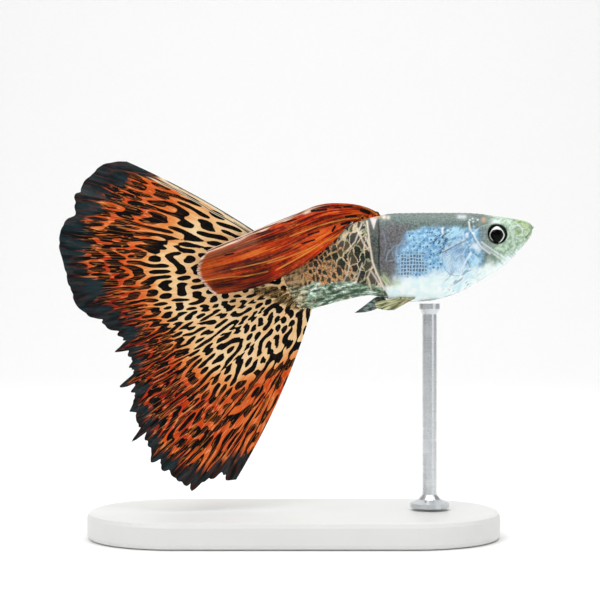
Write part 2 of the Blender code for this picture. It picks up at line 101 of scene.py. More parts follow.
def blend(tree, share, first, second, strength=1.0):
    """Two colours mixed by a share. Each is a socket, or a colour as it looks on screen."""
    if strength != 1.0:
        share = times(tree, share, strength)
    first, second = (srgb(*tint) if isinstance(tint, tuple) else tint for tint in (first, second))
    inputs = {0: share, 6: first, 7: second}
    return node(tree, "ShaderNodeMix", inputs, data_type="RGBA").outputs[2]


def vector_maths(tree, operation, first, second):
    return node(tree, "ShaderNodeVectorMath", {0: first, 1: second}, operation=operation).outputs[0]


def stretched(tree, vector, scale):
    """A vector scaled along each axis, which sets the grain of a pattern."""
    return vector_maths(tree, "MULTIPLY", vector, scale)


def noise(tree, vector, scale, detail=2.0, roughness=0.5, distortion=0.0):
    inputs = {"Vector": vector, "Scale": scale, "Detail": detail, "Roughness": roughness}
    return node(tree, "ShaderNodeTexNoise", {**inputs, "Distortion": distortion}).outputs[0]


def attribute(tree, name):
    """One number of the mesh's own, by its name."""
    return node(tree, "ShaderNodeAttribute", {}, attribute_name=name).outputs["Fac"]


def here(tree):
    """The point on the model, in millimetres, so that a pattern's scale reads as marks per millimetre."""
    place = node(tree, "ShaderNodeTexCoord", {}).outputs["Object"]
    return stretched(tree, place, (1000.0, 1000.0, 1000.0))


def new_finish(name, **constants):
    """A material with one Principled shader, and the numbers that are the same all over it."""
    made = bpy.data.materials.new(name)
    made.use_nodes = True
    shader = made.node_tree.nodes["Principled BSDF"]
    for socket, value in constants.items():
        shader.inputs[socket.replace("_", " ")].default_value = value
    return made, made.node_tree, shader


def raised(tree, shader, height, strength, depth_mm):
    """Feeds a height in 0 to 1 to the shader's normal, as relief of this depth."""
    inputs = {"Height": height, "Strength": strength, "Distance": depth_mm * MM}
    give(shader, "Normal", node(tree, "ShaderNodeBump", inputs).outputs[0])


def dress(node_name, finish):
    """Gives a kept solid its finish."""
    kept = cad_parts[node_name]
    for place in kept.material_slots:
        place.material = finish


plastic, tree, shader = new_finish("satin plastic", IOR=1.46, Coat_Weight=0.1, Coat_Roughness=0.25)
place = here(tree)
cloud = noise(tree, place, 0.12, 3.0)
grain = noise(tree, place, 9.0, 2.0, 0.6)
tint = blend(tree, cloud, (222, 223, 221), (232, 232, 229))
tint = blend(tree, ramp(tree, grain, 0.62, 0.8, 0.0, 0.25), tint, (204, 206, 205))
give(shader, "Base Color", tint)
give(shader, "Roughness", ramp(tree, grain, 0.3, 0.7, 0.36, 0.48))
raised(tree, shader, grain, 0.25, 0.02)
dress("stand_base", plastic)

# Stand rod
# A turned steel rod with a foot on the base and a small pad glued under the belly. It is drawn
# bright, with fine rings left by the lathe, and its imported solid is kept.
steel, tree, shader = new_finish("turned steel", Metallic=1.0)
place = here(tree)
rings = noise(tree, stretched(tree, place, (0.3, 0.3, 9.0)), 1.0, 2.0, 0.7)
smear = noise(tree, place, 0.6, 3.0)
give(shader, "Base Color", blend(tree, rings, (196, 199, 203), (222, 224, 226)))
give(shader, "Roughness", ramp(tree, smear, 0.3, 0.7, 0.2, 0.34))
raised(tree, shader, rings, 0.3, 0.01)
dress("stand_rod", steel)

# Skin
# One hide over head, trunk and tail stem, cast with its scales, gill covers, lips and nostrils and
# painted: a green head, a grey back, a blue flank, a white belly, and light strands round dark cells
# towards the tail.

# Each rib is where it meets the back and the belly, its half width, and how far down it is widest.
RIBS = (
    ((0.00, 0.33), (0.00, -0.42), 0.95, 0.45),
    ((0.69, 0.72), (0.69, -1.42), 1.25, 0.42),
    ((1.73, 0.98), (1.73, -2.68), 1.60, 0.38),
    ((2.88, 1.18), (2.88, -3.92), 1.95, 0.34),
    ((4.25, 1.36), (4.25, -4.86), 2.30, 0.33),
    ((6.21, 1.62), (6.21, -6.04), 2.60, 0.38),
    ((8.51, 1.72), (8.51, -7.28), 2.85, 0.45),
    ((11.04, 1.72), (11.04, -8.06), 2.95, 0.50),
    ((13.70, 1.70), (13.70, -8.28), 2.85, 0.50),
    ((16.33, 1.60), (15.99, -8.02), 2.55, 0.48),
    ((19.09, 0.98), (18.40, -7.59), 2.15, 0.46),
    ((21.97, 0.00), (20.93, -8.05), 1.80, 0.46),
    ((25.00, -1.55), (23.10, -8.62), 1.45, 0.48),
    ((27.90, -3.05), (25.20, -9.30), 1.00, 0.50),
)
# The skin runs on over the roots of the tail rays and thins out there.
SKIN_END_RIBS = (
    ((28.60, -3.25), (25.75, -9.70), 0.66, 0.50), ((29.20, -3.60), (26.40, -10.00), 0.30, 0.50)
)
NOSE_ROUNDING = 0.8
BACK_SQUARENESS = 2.3
BELLY_SQUARENESS = 2.0
SKIN_INSET = 0.06

SKIN_SIDES = 250
SKIN_RINGS = 390
HEAD_RING_SHARE = 0.32
HEAD_DETAIL_END = 6.6

SCALE_LENGTH = 0.66
SCALE_ROWS = 22
SCALE_LIFT = 0.055
SCALE_ROUNDNESS = 0.58

EYE_CENTRE = (4.37, 1.70, -0.76)
EYE_HALF = (1.05, 0.80, 1.00)
GILL_CENTRE = (4.90, -2.60)
GILL_HALF = (3.10, 3.00)
GILL_LIFT = 0.24
CHEEK_CENTRE = (4.35, -2.75)
CHEEK_HALF = (1.75, 1.95)
MOUTH_FRONT = (-0.25, 0.12)
MOUTH_CORNER = (1.15, -1.22)
NOSTRILS = ((1.75, 0.62), (2.35, 0.80))

low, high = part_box("eye_right")
NOSE = np.array(
    [(low[0] + high[0]) / 2 / MM + EYE_CENTRE[0], 0.0, (low[2] + high[2]) / 2 / MM - EYE_CENTRE[2]]
)


def placed(behind, side, up):
    """Points of the fish as rows in metres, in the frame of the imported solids."""
    return np.stack([NOSE[0] - behind, NOSE[1] + side, NOSE[2] + up], axis=-1) * MM


def mix(first, second, share):
    return first + (second - first) * share


def step(value):
    """0 below 0, 1 above 1, and an even rise between."""
    value = np.clip(value, 0.0, 1.0)
    return value * value * (3.0 - 2.0 * value)


def through(places, values, at):
    """A smooth curve through the values. It never swings past two neighbours."""
    places, values, at = (np.asarray(numbers, float) for numbers in (places, values, at))
    slopes = np.diff(values) / np.diff(places)
    tangents = np.concatenate(([slopes[0]], (slopes[:-1] + slopes[1:]) / 2, [slopes[-1]]))
    tangents[1:-1][slopes[:-1] * slopes[1:] <= 0] = 0.0
    index = np.clip(np.searchsorted(places, at) - 1, 0, len(places) - 2)
    width = places[index + 1] - places[index]
    share = np.clip((at - places[index]) / width, 0.0, 1.0)
    cube, square = share ** 3, share ** 2
    return (
        (2 * cube - 3 * square + 1) * values[index]
        + (cube - 2 * square + share) * width * tangents[index]
        + (3 * square - 2 * cube) * values[index + 1]
        + (cube - square) * width * tangents[index + 1]
    )


def rib(place, ribs=RIBS):
    """Back, belly, half width and widest share of the body at places behind the nose."""
    places = [(back[0] + belly[0]) / 2 for back, belly, _, _ in ribs]
    columns = zip(*((*back, *belly, width, widest) for back, belly, width, widest in ribs))
    return [through(places, column, place) for column in columns]


def stroke(behind, up, line, width):
    """How far a soft brush of this width, drawn along points of the side view, covers each point."""
    nearest = np.full(np.shape(behind), 1e9)
    for (x0, y0), (x1, y1) in zip(line, line[1:]):
        share = ((behind - x0) * (x1 - x0) + (up - y0) * (y1 - y0)) / ((x1 - x0) ** 2 + (y1 - y0) ** 2)
        share = np.clip(share, 0.0, 1.0)
        nearest = np.minimum(nearest, np.hypot(behind - mix(x0, x1, share), up - mix(y0, y1, share)))
    return np.exp(-((nearest / width) ** 2))


def head_relief(behind, up):
    """How far gill cover, eye rim, socket, lips and nostrils stand off the plain head."""
    reach = np.hypot((behind - GILL_CENTRE[0]) / GILL_HALF[0], (up - GILL_CENTRE[1]) / GILL_HALF[1])
    gill = GILL_LIFT * step((1.0 - reach) / 0.07) * step((behind - 3.6) / 2.2)
    cheek = np.hypot((behind - CHEEK_CENTRE[0]) / CHEEK_HALF[0], (up - CHEEK_CENTRE[1]) / CHEEK_HALF[1])
    # A groove round the cheek, and fine ribs towards the cover's edge.
    gill -= 0.07 * np.exp(-(((cheek - 1.0) / 0.06) ** 2)) * step((behind - 4.3) / 0.6)
    gill -= (
        0.025 * np.sin((behind * 0.55 - up) * 9.0) * step((reach - 0.55) / 0.3) * step((1 - reach) / 0.1)
    )
    # A rim round a sunk socket.
    around = np.hypot(behind - EYE_CENTRE[0], up - EYE_CENTRE[2])
    eye = 0.10 * np.exp(-(((around - 1.24) / 0.13) ** 2)) - 0.50 * step((1.16 - around) / 0.2)
    # Two lips along the line of the mouth, and the cleft between them.
    along = np.array(MOUTH_CORNER) - np.array(MOUTH_FRONT)
    length = np.hypot(*along)
    offset = np.stack([behind - MOUTH_FRONT[0], up - MOUTH_FRONT[1]])
    share = (offset[0] * along[0] + offset[1] * along[1]) / length ** 2
    aside = np.abs(offset[0] * along[1] - offset[1] * along[0]) / length
    lip = 0.10 * np.exp(-(((aside - 0.24) / 0.16) ** 2)) * step((1.15 - share) / 0.3)
    cleft = -0.34 * np.exp(-((aside / 0.075) ** 2)) * step((1.04 - share) / 0.12)
    # Nostrils with a low rim, and the fold under the throat.
    pits = 0.0
    for x, y in NOSTRILS:
        away = np.hypot(behind - x, up - y)
        pits = pits - 0.16 * step((0.15 - away) / 0.1) + 0.035 * np.exp(-(((away - 0.19) / 0.05) ** 2))
    throat = -0.14 * stroke(behind, up, ((4.45, -5.5), (4.75, -4.6), (5.4, -3.9)), 0.10)
    return gill + eye + lip + cleft + pits + throat, reach


def scale_pattern(along, around):
    """For points counted in scales along and round the body: how far each is ahead of its own scale's
    free edge, and how far behind the edge of the scale before it."""
    found = np.zeros(np.shape(along), bool)
    ahead, behind_last = np.zeros(np.shape(along)), np.zeros(np.shape(along))
    for extra in (-1, 0, 1, 2):
        column = np.floor(along) + extra
        shift = 0.5 * (column % 2)
        aside = np.abs(around - shift - np.round(around - shift))
        edge = column + np.sqrt(SCALE_ROUNDNESS ** 2 - aside ** 2) - SCALE_ROUNDNESS
        shift_before = 0.5 * ((column - 1) % 2)
        aside_before = np.abs(around - shift_before - np.round(around - shift_before))
        edge_before = column - 1 + np.sqrt(SCALE_ROUNDNESS ** 2 - aside_before ** 2) - SCALE_ROUNDNESS
        own = (edge >= along) & ~found
        ahead[own] = (edge - along)[own]
        behind_last[own] = (along - edge_before)[own]
        found |= own
    return ahead, behind_last


def points_of(piece):
    """The points of a mesh, as rows."""
    found = np.empty(len(piece.data.vertices) * 3)
    piece.data.vertices.foreach_get("co", found)
    return found.reshape(-1, 3)


# A ball with its poles at nose and tail gives the closed hide, ring by ring.
bpy.ops.object.select_all(action="DESELECT")
bpy.ops.mesh.primitive_uv_sphere_add(segments=SKIN_SIDES, ring_count=SKIN_RINGS, radius=1.0)
skin = bpy.context.object
skin.name = skin.data.name = "skin"
ball = points_of(skin)
down_share = np.arccos(np.clip(ball[:, 2], -1.0, 1.0)) / math.pi
turn = np.arctan2(ball[:, 1], ball[:, 0])

ALL_RIBS = RIBS + SKIN_END_RIBS
skin_length = (ALL_RIBS[-1][0][0] + ALL_RIBS[-1][1][0]) / 2
head_part = np.clip(down_share / HEAD_RING_SHARE, 0.0, 1.0)
rest_part = np.clip((down_share - HEAD_RING_SHARE) / (1 - HEAD_RING_SHARE), 0.0, 1.0)
place = HEAD_DETAIL_END * head_part ** 1.25 + (skin_length - HEAD_DETAIL_END) * rest_part

back_x, back_z, belly_x, belly_z, half_width, widest = rib(place, ALL_RIBS)
angle = turn - 0.13 * np.sin(2 * turn)
rise, across = np.sin(angle), np.cos(angle)
rounding = np.sqrt(1.0 - (1.0 - np.minimum(1.0, place / NOSE_ROUNDING)) ** 2)
rounding = rounding * np.sqrt(np.clip((skin_length - place) / 0.35, 0.0, 1.0))
middle_x, middle_z = mix(back_x, belly_x, widest), mix(back_z, belly_z, widest)
upper = rise >= 0
power = 2 / np.where(upper, BACK_SQUARENESS, BELLY_SQUARENESS)
height = np.abs(rise) ** power * rounding
side = np.sign(across) * np.abs(across) ** power * half_width * rounding
behind = mix(middle_x, np.where(upper, back_x, belly_x), height)
up = mix(middle_z, np.where(upper, back_z, belly_z), height)

half_height = np.where(upper, back_z - middle_z, middle_z - belly_z)
out_side, out_up = side / half_width ** 2, (up - middle_z) / np.maximum(half_height, 0.1) ** 2
out_length = np.maximum(np.hypot(out_side, out_up), 1e-6)
out_side, out_up = out_side / out_length, out_up / out_length

lift, gill_reach = head_relief(behind, up)
lift = lift * np.abs(across) ** 0.5
scaled = step((behind - 5.2) / 1.2) * step((gill_reach - 1.0) / 0.03)
crown = step((up - 0.1) / 0.6) * step((behind - 4.6) / 1.5)
scaled = np.maximum(scaled, crown * step((gill_reach - 1.0) / 0.03))
ahead, behind_last = scale_pattern(behind / SCALE_LENGTH, turn / (2 * math.pi) * SCALE_ROWS)
overlap = SCALE_LIFT * (np.exp(-ahead / 0.55) - 0.35 * np.exp(-((ahead / 0.08) ** 2)))
lift = lift + scaled * overlap * (1 - 0.55 * step((behind - 17.2) / 0.6)) - SKIN_INSET
nose_dent = -0.3 * stroke(behind, up, (MOUTH_FRONT, (0.6, -0.7)), 0.08) * step(1 - place / 0.5)
points = placed(behind - nose_dent, side + out_side * lift, up + out_up * lift)
skin.data.vertices.foreach_set("co", points.ravel())


def set_numbers(piece, name, values):
    """Stores one number for each point of a mesh, for its material to read."""
    made = piece.data.attributes.new(name, "FLOAT", "POINT")
    made.data.foreach_set("value", np.ascontiguousarray(values, np.float32).ravel())


def soft_field(seed, x, y, size):
    """Smooth random values over a plane, in -1 to 1, about one bump each size."""
    table = np.random.default_rng(seed).uniform(-1.0, 1.0, (64, 64))
    x, y = x / size + 17.0, y / size + 29.0
    left, low = np.floor(x).astype(int), np.floor(y).astype(int)
    across, rise = step(x - left), step(y - low)
    corner = [[table[(left + i) % 64, (low + j) % 64] for j in (0, 1)] for i in (0, 1)]
    return mix(mix(corner[0][0], corner[1][0], across), mix(corner[0][1], corner[1][1], across), rise)


def painted_lines(side_view, strokes):
    """How strongly brush strokes cover points of the side view. Each has a strength, a width in mm and
    a line of points in mm behind the nose and above it."""
    covered = np.zeros(np.shape(side_view[0]))
    for strength, width, line in strokes:
        covered = np.maximum(covered, strength * stroke(*side_view, line, width))
    return covered


# Where each paint lies, as a share for each point. Its limits are in mm behind the nose and above it,
# and wander frays them as a brush would.
wander = 0.35 * soft_field(1, behind, up, 0.9) + 0.2 * soft_field(2, behind, up, 0.35)
belly_line = through(
    (0.0, 2.0, 4.0, 5.5, 7.5, 9.5, 11.2, 12.6, 15.2, 16.6, 18.0, 19.5, 24.0, 28.0),
    (-1.2, -2.5, -3.5, -4.0, -4.4, -4.7, -4.7, -5.1, -5.5, -6.2, -7.4, -8.8, -10.0, -12.0), behind,
)
strand_place = through(
    (-7.6, -7.0, -5.3, -3.9, -1.7, -0.4, 0.7, 1.6), (16.4, 16.8, 17.6, 18.1, 18.5, 18.6, 18.75, 18.8), up
)
blue_edge = through(
    (-6.2, -5.5, -2.9, -1.4, -0.8, -0.4, 0.2), (15.3, 15.2, 15.3, 14.5, 14.4, 14.0, 12.0), up
)
blue_top = through((5.5, 7.4, 9.6, 10.9, 13.2, 14.2), (-0.4, -0.2, 0.05, -0.1, -0.2, -0.5), behind)
belly_mask = step((belly_line - up + wander) / 1.2 + 0.4) * step((17.2 - behind) / 0.8)
rear_mask = step((behind - strand_place) / 0.1 + 0.5)
blue_mask = (
    step((blue_top - up + 0.35 * wander) / 0.8 + 0.5)
    * step((blue_edge - behind + 0.6 * wander) / 1.5 + 0.6)
)
blue_mask = blue_mask * step((behind - 5.6 - 0.8 * wander) / 1.2)
grid_mask = (
    step((behind - 12.0 - wander) / 0.8) * step((15.25 - behind) / 0.2) * step((-2.5 - up + wander) / 0.8)
)
grid_mask = grid_mask * step((up + 5.6 + wander) / 0.5)
squiggle_mask = (
    blue_mask * step((behind - 9.2) / 0.5) * step((12.0 - behind - wander) / 0.6)
    * step((up + 3.4 + wander) / 0.7)
)
grey_mask = step((behind - 13.2 - wander) / 1.6) * step((0.9 - up + wander) / 1.2) * (1 - rear_mask)
sheen_mask = step((11.6 + wander - behind) / 2.5) * step((behind - 5.6) / 0.8)
band_mask = step((behind - 17.5) / 0.06) * step((strand_place - behind) / 0.1) * step((0.9 - up) / 0.2)
wedge_half = through((-0.45, 1.3), (0.0, 0.5), up)
wedge_mask = step((wedge_half - np.abs(behind - 18.02 - 0.1 * wander)) / 0.1) * step((up + 0.45) / 0.15)
head_mask = step((5.9 + wander - behind) / 1.8)
brow_mask = stroke(behind, up, ((6.0, 0.2), (5.75, -0.9), (5.6, -1.9)), 0.55)
snout_mask = step((2.6 + wander - behind) / 1.6) * step((up + 1.6) / 1.2)
green_mask = (
    stroke(behind, up, ((0.9, 0.35), (2.1, 0.75)), 0.28)
    + stroke(behind, up, ((2.0, -0.45), (1.9, -0.7)), 0.3)
)
leaf_mask = painted_lines((behind, up), (
    (0.9, 0.42, ((17.95, -4.9), (17.65, -6.1))), (0.8, 0.40, ((16.95, -5.6), (16.6, -6.1))),
    (0.5, 0.35, ((16.2, -6.3), (15.4, -6.2))),
))
seam_mask = np.exp(-(((behind - 17.47 - 0.03 * np.sin(up * 3)) / 0.10) ** 2)) * step((up + 5.4) / 0.8)
seam_mask = np.maximum(
    seam_mask * step((1.4 - up) / 0.7),
    0.8 * stroke(behind, up, ((17.45, -4.8), (17.2, -5.6), (16.8, -6.4)), 0.08)
)
# Painted shade: a dark line along the top of the back ahead of the tail stem, and another along the
# middle of the belly.
ridge_shade_mask = (
    step((rise - 0.965) / 0.03) * (1 - step((behind - 17.0) / 1.0)) + 0.7 * step((-0.982 - rise) / 0.014)
)
low_band = through((17.4, 18.6, 20.2, 22.0, 25.0, 28.0), (-6.5, -6.35, -6.2, -6.0, -6.3, -6.6), behind)
mint_mask = rear_mask * step((low_band - up + 0.7 * wander) / 0.35 + 0.4)
rust_mask = through((17.4, 18.8, 20.2, 22.0, 24.0, 28.0), (0.0, 0.0, 0.32, 0.62, 0.9, 0.95), behind)
rust_mask = np.clip(
    rust_mask + 0.35 * wander + 0.18 * step((-3.0 - up) / 2.0) - 0.25 * step((up + 2.2) / 1.5), 0, 1
)
end_mask = rear_mask * step((behind - 25.0 - 0.12 * (up + 6.0) - 1.2 * wander) / 1.6)
# Cells of the net grow smaller towards the tail, so their count along the body is summed up.
NET_STEP = 0.05
stations = np.arange(0.0, 32.0 + NET_STEP / 2, NET_STEP)
cells_to_mm = through((0.0, 17.4, 19.3, 21.0, 23.0, 28.0), (1.0, 1.0, 1.05, 1.35, 1.75, 1.95), stations)
net_x = np.interp(behind, stations, np.cumsum(cells_to_mm) * NET_STEP)
net_fine = through((17.4, 19.3, 21.0, 23.0, 28.0), (0.62, 0.66, 0.84, 1.10, 1.30), behind)
strand_half = through(
    (17.4, 19.0, 20.5, 22.0, 24.0, 28.0), (0.030, 0.040, 0.065, 0.095, 0.12, 0.13), behind
)
strand_half = strand_half + 0.05 * step((-4.0 - up) / 1.5) * step((behind - 19.5) / 1.0)

# Marks laid by brush: dark lines that are partly painted shade in creases, pale lines and dots that are
# partly painted highlights and glints, bright scratches, and strands of the net too long for a pattern.
around_eye = np.hypot(behind - EYE_CENTRE[0], up - EYE_CENTRE[2])
# Dark lines: painted shade in the crease ahead of the pectoral fin's root and beside the pale lines on
# the gill cover, with the cheek's own dark streaks.
shade_and_dark_marks = painted_lines((behind, up), (
    (0.9, 0.07, ((7.48, 0.10), (7.2, -0.9), (6.85, -1.6))),
    (0.8, 0.07, ((7.73, -1.95), (7.58, -2.80))), (0.9, 0.08, ((7.1, -2.8), (6.8, -3.0), (6.39, -3.36))),
    (0.5, 0.10, ((9.34, -2.80), (9.63, -3.78), (9.34, -4.55))),
    (0.8, 0.06, ((5.78, -1.93), (4.37, -3.00))), (0.9, 0.07, ((4.22, -2.79), (3.95, -3.14))),
    (0.75, 0.055, ((6.20, -2.22), (4.9, -3.2), (3.59, -4.13))),
    (0.55, 0.05, ((5.7, -2.45), (3.9, -3.75))),
    (0.5, 0.05, ((5.5, -2.9), (4.2, -3.95))),
    (0.6, 0.05, ((2.97, -2.75), (2.26, -3.31))), (0.6, 0.05, ((2.80, -2.55), (2.15, -3.05))),
    (0.5, 0.05, ((3.05, -3.05), (2.5, -3.45))), (0.5, 0.06, ((5.75, 0.1), (5.6, -1.2))),
    (0.5, 0.06, ((6.05, 0.4), (6.1, -1.0))), (0.7, 0.07, ((8.05, -3.3), (7.4, -4.4))),
    (0.5, 0.07, ((8.75, -2.9), (8.2, -3.9), (8.3, -4.6))),
    (0.5, 0.06, ((1.2, 0.0), (1.75, 0.1), (2.5, -0.2))),
    (0.45, 0.30, ((0.42, 0.38), (0.36, -0.05))), (0.8, 0.30, ((17.86, -5.45), (17.84, -5.65))),
))
# Pale lines and dots, partly painted highlights: along the rim of the gill cover and the jaw, with small
# painted glints, and pale streaks of the fish's own.
highlight_and_pale_marks = painted_lines((behind, up), (
    (1.0, 0.085, ((7.52, 0.60), (7.44, -0.19), (6.81, -1.38), (6.17, -2.23), (5.2, -2.9))),
    (0.9, 0.30, ((7.05, -2.0), (6.55, -2.35))), (0.95, 0.11, ((7.37, -2.80), (7.9, -3.8), (8.29, -4.63))),
    (0.95, 0.08, ((6.20, -1.66), (4.93, -2.50), (2.95, -3.70))),
    (0.7, 0.05, ((6.05, -2.0), (4.5, -3.15), (3.4, -3.9))),
    (1.0, 0.20, ((8.16, -1.53), (8.2, -1.58))), (0.9, 0.07, ((8.16, -1.1), (8.2, -2.0))),
    (0.9, 0.07, ((8.6, -1.4), (7.7, -1.7))),
    (0.95, 0.13, ((10.47, -0.15), (10.47, -0.65))), (0.95, 0.16, ((7.74, -0.75), (7.74, -1.05))),
    (0.8, 0.11, ((8.22, -0.80), (8.25, -0.86))),
    (0.5, 0.15, ((8.8, -1.7), (10.1, -2.4), (10.6, -3.2))), (0.5, 0.25, ((9.9, -3.2), (9.8, -4.4))),
    (0.75, 0.24, ((4.65, 0.65), (4.3, 0.60))),
    (0.8, 0.055, ((2.46, 0.15), (1.90, 0.30), (1.46, -0.25), (1.57, -0.85), (2.23, -0.96))),
    (0.9, 0.10, ((7.37, 0.84), (7.39, 0.84))), (0.9, 0.09, ((7.06, 0.98), (7.08, 0.98))),
    (0.9, 0.09, ((7.03, 0.63), (7.05, 0.63))),
    (0.9, 0.10, ((6.50, 0.84), (6.52, 0.84))), (0.8, 0.09, ((6.98, 0.09), (7.0, 0.09))),
    (0.6, 0.28, ((8.5, 1.2), (8.0, 1.2))),
))
scratches = painted_lines((behind, up), (
    (0.8, 0.06, ((16.74, -3.77), (16.46, -2.8), (15.7, -2.05), (14.75, -1.85), (14.2, -2.05))),
    (0.8, 0.06, ((15.7, -3.57), (15.52, -2.24), (14.95, -1.57), (14.2, -1.38))),
    (0.7, 0.06, ((16.46, -3.77), (15.7, -3.67), (14.95, -3.2))),
    (0.6, 0.05, ((16.2, -1.9), (15.9, -3.3))),
    (0.6, 0.05, ((15.1, -2.3), (15.3, -4.8))), (0.5, 0.05, ((17.0, -0.4), (16.7, -1.9), (16.9, -3.0))),
))
cream_marks = painted_lines((behind, up), (
    (
        1.0, 0.10,
        ((18.76, 0.75), (18.66, -0.41), (18.52, -1.73), (18.17, -3.94), (17.64, -5.26), (16.84, -6.9))
    ),
    (0.9, 0.09, ((18.95, -1.1), (18.6, -1.9))), (1.0, 0.26, ((16.95, 1.35), (16.85, 1.2))),
    (0.9, 0.20, ((16.40, 1.15), (16.38, 1.1))),
    (0.8, 0.09, ((19.9, -0.1), (19.2, -1.7), (18.55, -2.6))),
    (0.8, 0.08, ((19.3, 0.6), (20.1, -1.6), (21.0, -2.6))),
    (0.7, 0.08, ((18.2, -4.3), (18.7, -5.6), (18.3, -6.9))), (0.8, 0.09, ((18.3, -4.9), (17.2, -6.6))),
    (0.7, 0.07, ((19.3, -4.0), (20.0, -6.2))), (0.6, 0.06, ((20.6, -3.4), (20.9, -5.0), (21.4, -6.1))),
    (0.7, 0.06, ((17.3, -5.5), (16.2, -6.9))), (0.6, 0.06, ((16.9, -5.4), (15.9, -6.6))),
))
deep_green = painted_lines((behind, up), (
    (1.0, 0.13, ((18.9, -6.90), (21.56, -7.65), (22.88, -8.18), (23.95, -8.89))),
    (0.7, 0.10, ((19.5, -6.3), (22.0, -7.1), (24.0, -8.2))),
))
tan_marks = painted_lines((behind, up), (
    (0.9, 0.22, ((5.85, 0.92), (5.83, 0.74))), (0.9, 0.20, ((17.79, 1.13), (17.07, 1.5))),
))

for name, values in (
    ("belly", belly_mask), ("rear", rear_mask), ("blue", blue_mask), ("grid", grid_mask * blue_mask),
    ("squiggle", squiggle_mask), ("sheen", sheen_mask * blue_mask), ("grey", grey_mask),
    ("band", band_mask), ("wedge", wedge_mask), ("head", head_mask),
    ("brow", brow_mask * (around_eye > 1.0)), ("snout", snout_mask), ("green", green_mask * head_mask),
    ("leaf", leaf_mask),
    ("seam", seam_mask), ("ridge", np.clip(ridge_shade_mask, 0, 1)), ("mint", mint_mask), ("rust", rust_mask),
    ("dark", shade_and_dark_marks),
    ("pale", highlight_and_pale_marks), ("scratch", scratches), ("cream", cream_marks), ("deep", deep_green),
    ("tan", tan_marks),
    ("end", end_mask), ("scaled", scaled), ("ahead", ahead), ("behind_last", behind_last),
    # Black painted shade in the sunk socket round each eye.
    ("socket", step((1.18 - around_eye) / 0.08)),
    ("net_x", net_x), ("net_y", side * net_fine), ("net_z", (up + 3.6) * net_fine),
    ("strand", strand_half),
):
    set_numbers(skin, name, values)

bpy.ops.object.shade_smooth()


def plus(tree, first, second):
    return maths(tree, "ADD", first, second)


def less(tree, first, second):
    return maths(tree, "SUBTRACT", first, second)


def centred(tree, pattern):
    """A pattern of 0 to 1, moved to swing about 0."""
    return less(tree, pattern, 0.5)


def rotated(tree, vector, angle):
    """A vector turned about the axis from side to side, so that a pattern slopes along the flank."""
    inputs = {"Vector": vector, "Axis": (0.0, 1.0, 0.0), "Angle": angle}
    return node(tree, "ShaderNodeVectorRotate", inputs).outputs[0]


painted, tree, shader = new_finish("painted skin", IOR=1.42, Specular_IOR_Level=0.35, Coat_Roughness=0.15)
place = here(tree)
# Grains of four sizes, and a coat for each mask, one over another from the back down.
speckle = noise(tree, place, 5.0, 3.0, 0.65)
fine = noise(tree, place, 12.0, 2.0, 0.6)
soft = noise(tree, place, 1.1, 3.0, 0.55)
middling = noise(tree, place, 2.6, 3.0, 0.6)
colour = blend(tree, ramp(tree, speckle, 0.32, 0.68), (74, 93, 88), (124, 142, 136))
for mask, first, second, grain, strength in (
    ("grey", (80, 80, 82), (122, 120, 122), speckle, 1.0),
    ("blue", (110, 166, 212), (182, 226, 248), middling, 1.0),
    ("head", (138, 172, 146), (208, 228, 206), middling, 1.0),
    ("brow", (118, 134, 130), (158, 172, 166), speckle, 0.8),
    ("snout", (146, 178, 134), (206, 222, 188), middling, 0.8),
    ("green", (120, 150, 66), (168, 186, 110), middling, 0.7),
    ("belly", (226, 247, 248), (247, 255, 254), soft, 1.0),
    ("leaf", (132, 164, 92), (188, 208, 156), speckle, 1.0),
    ("band", (54, 60, 56), (100, 106, 98), speckle, 1.0),
    ("rear", (206, 206, 180), (240, 222, 202), soft, 1.0),
):
    coat = blend(tree, ramp(tree, grain, 0.35, 0.65), first, second)
    colour = blend(tree, attribute(tree, mask), colour, coat, strength)

# Strands of cream and rust round dark cells, which grow smaller and rounder towards the tail.
rear = attribute(tree, "rear")
along_net = {number: attribute(tree, "net_" + axis) for number, axis in enumerate("xyz")}
net_place = node(tree, "ShaderNodeCombineXYZ", along_net).outputs[0]
inputs = {"Vector": place, "Scale": 1.3, "Detail": 2.0, "Roughness": 0.6}
wobble = node(tree, "ShaderNodeTexNoise", inputs).outputs[1]
wobble = stretched(tree, vector_maths(tree, "SUBTRACT", wobble, (0.5, 0.5, 0.5)), (0.9, 0.9, 0.9))
net_place = vector_maths(tree, "ADD", net_place, wobble)
inputs = {"Vector": net_place, "Scale": 1.0, "Randomness": 0.9}
to_strand = node(tree, "ShaderNodeTexVoronoi", inputs, feature="DISTANCE_TO_EDGE").outputs["Distance"]
nearest = node(tree, "ShaderNodeTexVoronoi", inputs, feature="F1")
cell_number = node(tree, "ShaderNodeSeparateColor", {0: nearest.outputs["Color"]})
rust = attribute(tree, "rust")
rust_share = maths(tree, "MULTIPLY_ADD", centred(tree, middling), 1.6, rust)
rust_share = times(tree, ramp(tree, rust_share, 0.15, 0.85), 0.95)
rusty = blend(tree, ramp(tree, speckle, 0.38, 0.62), (110, 64, 30), (212, 156, 96))
pale = blend(tree, ramp(tree, soft, 0.4, 0.6), (138, 150, 116), (214, 194, 158))
strand_colour = blend(tree, rust_share, pale, rusty)
